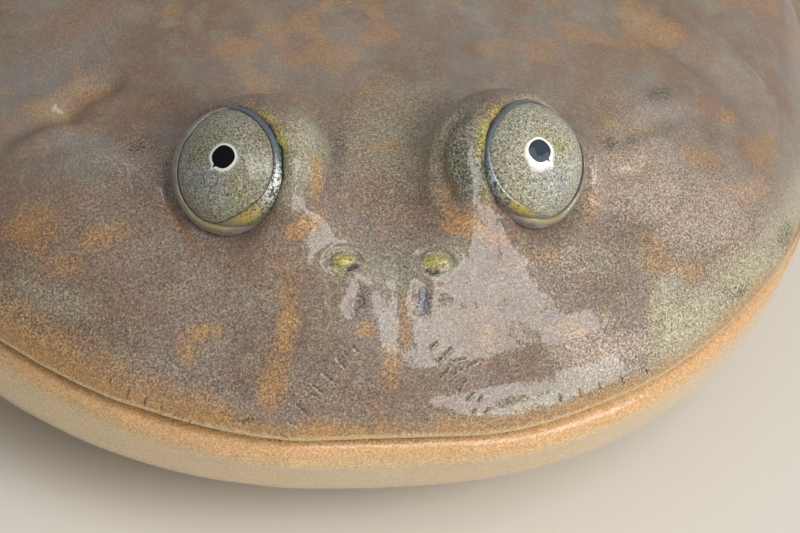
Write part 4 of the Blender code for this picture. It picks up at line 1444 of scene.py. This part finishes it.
def spread(away: Array, turn: Array, axis: Array, across: Array, up: Array) -> Array:
    """Find ways that lean from an axis.

    Args:
        away: how far each leans from the axis, in radians.
        turn: where round the axis it leans, in radians from across towards up.
        axis: the axis.
        across: a way square to it.
        up: a way square to both.

    Returns:
        One way a row.
    """
    side = np.outer(np.cos(turn), across) + np.outer(np.sin(turn), up)
    return np.outer(np.cos(away), axis) + np.sin(away)[:, None] * side


@dataclass
class Eye:
    """One eye with its lids. Sizes are in millimetres and angles in degrees.

    Round the eye's opening, turn 0 is towards the middle of the head and turn 90 is up. Away is the angle from
    the opening's axis. A lid's rows are turn, inner and outer edge as angles away, and height over the ball.
    """

    side: Side
    opening: tuple[float, float, float]
    pupil_seen: Place
    upper_lid: tuple[Row, ...]
    lower_lid: tuple[Row, ...]
    # where the skin ends round the opening: turn and angle away
    rim: tuple[Place, ...]
    # tinted spots of the iris: how far outward and up from the pupil, width and strength
    zones: dict[str, tuple[Row, ...]]
    radius: float = 3.6
    pupil: float = 0.65
    # how much narrower the white ring is above the pupil, and its width against that of the finish
    ring_thins: float = 0.15
    ring_wide: float = 1.0
    # shares: of silver on the upper lid, of the iris's brightness under its painted shade, and of the painted
    # sheen in the pupil
    silver: float = 0.9
    tone: float = 1.0
    haze: float = 0.0

    def middle(self) -> Array:
        """Return the ball's centre."""
        return np.array(EYE_CENTRE) * (self.side.value, 1, 1)

    def ways(self) -> Arrays:
        """Find how the opening stands.

        Returns:
            The way that it faces, the way of turn 0 and the way of turn 90.
        """
        axis = np.array(Vector(self.opening).normalized())
        sideways = np.cross((0, 0, 1), axis)
        sideways /= np.linalg.norm(sideways)
        return axis, -self.side.value * sideways, np.cross(axis, sideways)

    def around(self, places: Array) -> Arrays:
        """Describe places by where they lie round the opening.

        Args:
            places: one a row.

        Returns:
            The distance from the ball's centre, the angle away from the axis, and the turn.
        """
        axis, medial, up = self.ways()
        off = places - self.middle()
        gap = np.linalg.norm(off, axis=1)
        away = np.degrees(np.arccos(np.clip(off @ axis / gap, -1, 1)))
        return gap, away, np.degrees(np.arctan2(off @ up, off @ medial))

    def place(self, gap: Array, away: Array, turn: Array) -> Array:
        """Find the places that around() would describe so.

        Args:
            gap: the distance from the ball's centre.
            away: the angle away from the axis.
            turn: the turn.

        Returns:
            One place a row.
        """
        unit = spread(np.radians(away), np.radians(turn), *self.ways())
        return self.middle() + unit * gap[:, None]

    def facing(self) -> Array:
        """Find how the pupil faces, from where the photograph shows it.

        Returns:
            The way from the ball's centre to the pupil.
        """
        ray, stand = np.array(SIGHT.ray(*self.pupil_seen)), np.array(SIGHT.stand())
        off = stand - self.middle()
        along = off @ ray
        reach = -along - math.sqrt(along * along - off @ off + self.radius**2)
        return (off + ray * reach) / self.radius

    def ball(self, iris: Finish, pupil: Finish) -> Piece:
        """Make the ball, its rings drawn together round the pupil's edge.

        Args:
            iris: the finish round the pupil.
            pupil: the finish inside it.

        Returns:
            The piece.
        """
        deselect()
        bpy.ops.mesh.primitive_uv_sphere_add(segments=144, ring_count=70, radius=self.radius * MM)
        ball = bpy.context.object
        ball.name = ball.data.name = self.side.of("eye_ball")
        local = points_of(ball.data) / self.radius
        away = np.arccos(np.clip(local[:, 2], -1, 1))
        around = np.arctan2(local[:, 1], local[:, 0])
        edge = self.pupil / self.radius
        share = away / math.pi
        # the pupil's edge lies on the ring at a fifth of the way back, whatever its outline
        rings = ((0, 0), (0.1, edge * 0.5), (0.2, edge), (0.3, edge + 0.09), (0.5, edge + 0.55), (1, math.pi))
        ring = through(rings, share)
        axis = self.facing()
        aside = self.side.value
        bearing = np.degrees(np.arctan2(np.sin(around), np.cos(around) * aside))
        # the pupil is round, with a small notch and a soft corner opposite
        point, corner = wrapped(bearing + 43), wrapped(bearing - 137)
        outline = 1 + 0.07 * bell(point, 22) + 0.3 * bell(point, 4.5) + 0.05 * bell(corner, 20)
        outline -= 0.03 * np.cos(np.radians(4 * point))
        shaped = ring * (1 + (outline - 1) * (1 - eased(share, 0.2, 0.32)))
        shaped[share > 0.999] = math.pi
        unit = spread(shaped, around, axis, *SIGHT.sideways(axis))
        put_points(ball.data, self.middle() + unit * self.radius)
        beyond = np.maximum(shaped - edge * outline, 0) * self.radius
        give(ball.data, "from_pupil", beyond * (1 + self.ring_thins * np.sin(around)) / self.ring_wide)
        # the iris's painted shade and the pupil's painted sheen, even over the ball
        for name, value in (("tone", self.tone), ("haze", self.haze)):
            give(ball.data, name, np.full(len(unit), value))
        out_mm = shaped * np.cos(around) * aside * self.radius
        up_mm = shaped * np.sin(around) * self.radius
        for name, spots in self.zones.items():
            total = np.zeros(len(unit))
            for x, y, width, strength in spots:
                total = np.maximum(total, strength * bell(np.hypot(out_mm - x, up_mm - y), width))
            give(ball.data, name, total)
        round_off(ball, iris, pupil)
        for face in ball.data.polygons:
            face.material_index = 1 if max(share[v] for v in face.vertices) < 0.2001 else 0
        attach(ball, "root")
        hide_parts(self.side.of("eye"))
        return ball

    def fold(self, name: str, table: tuple[Row, ...], finish: Finish) -> tuple[Piece, Array, Array]:
        """Sweep a soft fold round the ball.

        Args:
            name: the piece's name.
            table: the lid's rows.
            finish: the lid's material.

        Returns:
            The piece, each vertex's turn, and where it lies across the fold, from -1 inside to 1 outside.
        """
        ring = 3
        deselect()
        bpy.ops.mesh.primitive_torus_add(
            major_segments=220, minor_segments=24, major_radius=ring * MM, minor_radius=1 * MM)
        fold = bpy.context.object
        fold.name = fold.data.name = name
        local = points_of(fold.data)
        turn = np.degrees(np.arctan2(local[:, 1], local[:, 0]))
        section = np.arctan2(local[:, 2], np.hypot(local[:, 0], local[:, 1]) - ring)
        rows = sorted(table)
        inner, outer, height = (through([(r[0], r[k]) for r in rows], turn, 360) for k in (1, 2, 3))
        away = (inner + outer) / 2 + (outer - inner) / 2 * np.cos(section)
        lift = self.radius + height * (0.35 + 0.65 * np.sin(section))
        put_points(fold.data, self.place(lift, away, turn))
        take(fold)
        bpy.ops.object.mode_set(mode="EDIT")
        bpy.ops.mesh.select_all(action="SELECT")
        bpy.ops.mesh.normals_make_consistent(inside=False)
        bpy.ops.object.mode_set(mode="OBJECT")
        round_off(fold, finish)
        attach(fold, "root")
        return fold, turn, np.cos(section)

    def build(self, iris: Finish, pupil: Finish, lid_edge: Finish, lower_lid: Finish) -> list[Piece]:
        """Make the ball, the upper lid's rolled edge and the clear lower lid.

        Args:
            iris: the ball's finish round the pupil.
            pupil: the ball's finish inside it.
            lid_edge: the finish of the upper lid.
            lower_lid: the finish of the lower lid.

        Returns:
            The three pieces.
        """
        ball = self.ball(iris, pupil)
        upper, turn, across = self.fold(self.side.of("upper_lid_edge"), self.upper_lid, lid_edge)
        give(upper.data, "gold", 0.95 * bell(turn + 34, 24) * (1 - 0.7 * eased(across, -0.3, 0.6)))
        give(upper.data, "silver", self.silver * bell(turn - 6, 18))
        give(upper.data, "speckled", bell(turn + 8, 40))
        lower, turn, across = self.fold(self.side.of("lower_lid"), self.lower_lid, lower_lid)
        give(lower.data, "gold", 0.85 * bell(across + 0.88, 0.2) * bell(turn + 68, 30))
        return [ball, upper, lower]


EYES = (
    Eye(
        side=Side.RIGHT,
        opening=(-0.571, -0.591, 0.571),
        pupil_seen=(223, 156.5),
        # this eye faces away from the lamps, and its iris is darkened with painted shade
        tone=0.66,
        upper_lid=(
            (-175, 74, 79, 0.10), (-120, 72, 78, 0.12), (-85, 66, 72, 0.12), (-60, 57, 70, 0.20),
            (-33, 54, 74, 0.28), (-8, 57.5, 71.5, 0.26), (15, 59.5, 69.5, 0.24), (45, 60.5, 67.5, 0.2),
            (80, 61, 68, 0.2), (110, 65, 71, 0.15), (145, 71, 77, 0.12)),
        lower_lid=(
            (180, 41, 78, 0.18), (-150, 43, 79, 0.22), (-120, 52, 80, 0.3), (-90, 61, 81, 0.34),
            (-65, 62, 81, 0.34), (-42, 66, 80, 0.22), (-15, 72, 78, 0.05), (60, 74, 78, 0.04),
            (100, 70, 76, 0.06), (130, 58, 76, 0.12), (155, 44, 77, 0.16)),
        rim=(
            (-170, 74), (-140, 75), (-90, 76), (-50, 76), (-30, 73), (-8, 70.5), (15, 68.5), (45, 66.5),
            (80, 66), (110, 69), (145, 75), (170, 77)),
        zones={
            "olive": ((1.4, 0.4, 0.75, 0.9), (-0.9, -2.3, 0.9, 0.7), (0.4, 1.6, 1.0, 0.35)),
            "blue": ((1.2, -1.1, 1.5, 0.6), (2.2, -0.3, 0.8, 0.4)),
            "brown": ((-2.1, 1.2, 0.6, 0.8), (-1.2, -1.2, 0.9, 0.35)),
        },
    ),
    Eye(
        side=Side.LEFT,
        opening=(0.5, -0.609, 0.616),
        pupil_seen=(540, 150.5),
        ring_thins=0.55,
        ring_wide=1.25,
        silver=0.3,
        # a painted sheen over this pupil
        haze=0.8,
        upper_lid=(
            (-175, 74, 79, 0.10), (-120, 72, 78, 0.10), (-85, 68, 73, 0.10), (-60, 60, 68, 0.15),
            (-40, 58, 71, 0.24), (-20, 60, 74, 0.28), (-5, 62.5, 75, 0.28), (12, 64.5, 73.5, 0.26),
            (40, 66, 71.5, 0.22), (75, 64, 70.5, 0.2), (110, 67, 73, 0.15), (145, 72, 78, 0.12)),
        lower_lid=(
            (-170, 48, 78, 0.16), (-150, 45, 79, 0.25), (-132, 51, 80, 0.32), (-112, 60, 82, 0.36),
            (-85, 66, 83, 0.38), (-62, 65, 82, 0.34), (-40, 68, 80, 0.2), (-15, 72, 78, 0.05),
            (60, 74, 78, 0.04), (120, 74, 80, 0.06), (155, 69, 78, 0.12)),
        rim=(
            (-170, 75), (-140, 76), (-90, 78), (-50, 78), (-30, 74), (-5, 73.5), (12, 72), (40, 70),
            (75, 69), (110, 71), (145, 76), (170, 77)),
        zones={
            "olive": ((1.4, 0.35, 0.7, 0.9), (-1.0, -2.2, 0.6, 0.3)),
            "blue": ((1.4, -1.5, 1.6, 0.5),),
            "brown": ((0.25, 1.1, 0.4, 0.5), (-2.2, -0.8, 0.8, 0.25)),
        },
    ),
)


@dataclass
class Spade:
    """The horny digging spade under one foot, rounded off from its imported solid."""

    side: Side
    voxel: float = 0.12
    # the layers of growth: how wide they are and how far they stand out
    layers: float = 0.8
    unevenness: float = 0.05

    def build(self, horn: Finish) -> Piece:
        """Make the spade.

        Args:
            horn: its finish.

        Returns:
            The piece.
        """
        node = self.side.of("spade")
        spade = copy_of(node, node + "_horn")
        fuse(spade, self.voxel)
        places = relaxed(points_of(spade.data), edges_of(spade.data), 12)
        put_points(spade.data, places)
        push = self.unevenness * (cloudy(places * (1, 1, 3), self.layers, 5) - 0.5)
        put_points(spade.data, places + normals_of(spade.data) * push[:, None])
        round_off(spade, horn)
        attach(spade, "root")
        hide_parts(node)
        return spade


@dataclass
class Studio:
    """A plain pale floor, an even pale sky, three soft lamp panes and the camera."""

    # each lamp's name, bearing and height in degrees, then distance, width and height in metres, and watts
    lamps: tuple[tuple[str, float, float, float, float, float, float], ...] = (
        ("near_pane", 25.5, 32, 0.6, 0.26, 0.28, 1.7),
        ("far_pane", 52, 28, 0.6, 0.19, 0.30, 1.35),
        ("high_pane", 21, 54, 0.6, 0.19, 0.18, 0.75),
    )
    # the place that the lamps face, in metres
    lit: tuple[float, float, float] = (0, -0.045, 0.015)
    sky: Hex = "e8eaee"
    sky_strength: float = 0.52

    def build(self) -> None:
        """Set it all up."""
        deselect()
        bpy.ops.mesh.primitive_plane_add(size=6, location=(0, 0, 0))
        floor = bpy.context.object
        floor.name = "floor"
        floor.data.materials.append(FloorPaint().build())
        world = bpy.data.worlds.new("studio")
        bpy.context.scene.world = world
        world.use_nodes = True
        sky = world.node_tree
        feed(sky, sky.nodes["Background"], {"Color": linear(self.sky), "Strength": self.sky_strength})
        for name, bearing, height, distance, wide, high, power in self.lamps:
            lamp = bpy.data.lights.new(name, "AREA")
            lamp.shape = "RECTANGLE"
            lamp.size, lamp.size_y, lamp.energy = wide, high, power
            holder = bpy.data.objects.new(name, lamp)
            bpy.context.scene.collection.objects.link(holder)
            way = outward(bearing, height)
            holder.location = Vector(self.lit) + way * distance
            holder.rotation_euler = (-way).to_track_quat("-Z", "Y").to_euler()
        SIGHT.camera()
        bpy.context.scene.view_settings.view_transform = "Standard"


def main() -> None:
    """Build the frog and its studio."""
    logging.basicConfig(level=logging.INFO, format="%(name)s: %(message)s")
    iris, pupil, lid_edge, lower_lid, horn = (f().build() for f in (WetIris, Pupil, LidEdge, LowerLid, Horn))
    pieces = [Skin().build()]
    for eye in EYES:
        pieces += eye.build(iris, pupil, lid_edge, lower_lid)
    pieces += [Spade(side).build(horn) for side in Side]
    for piece in pieces:
        LOG.info("%s: %d triangles", piece.name, sum(len(p.vertices) - 2 for p in piece.data.polygons))
    Studio().build()


if __name__ == "__main__":
    main()
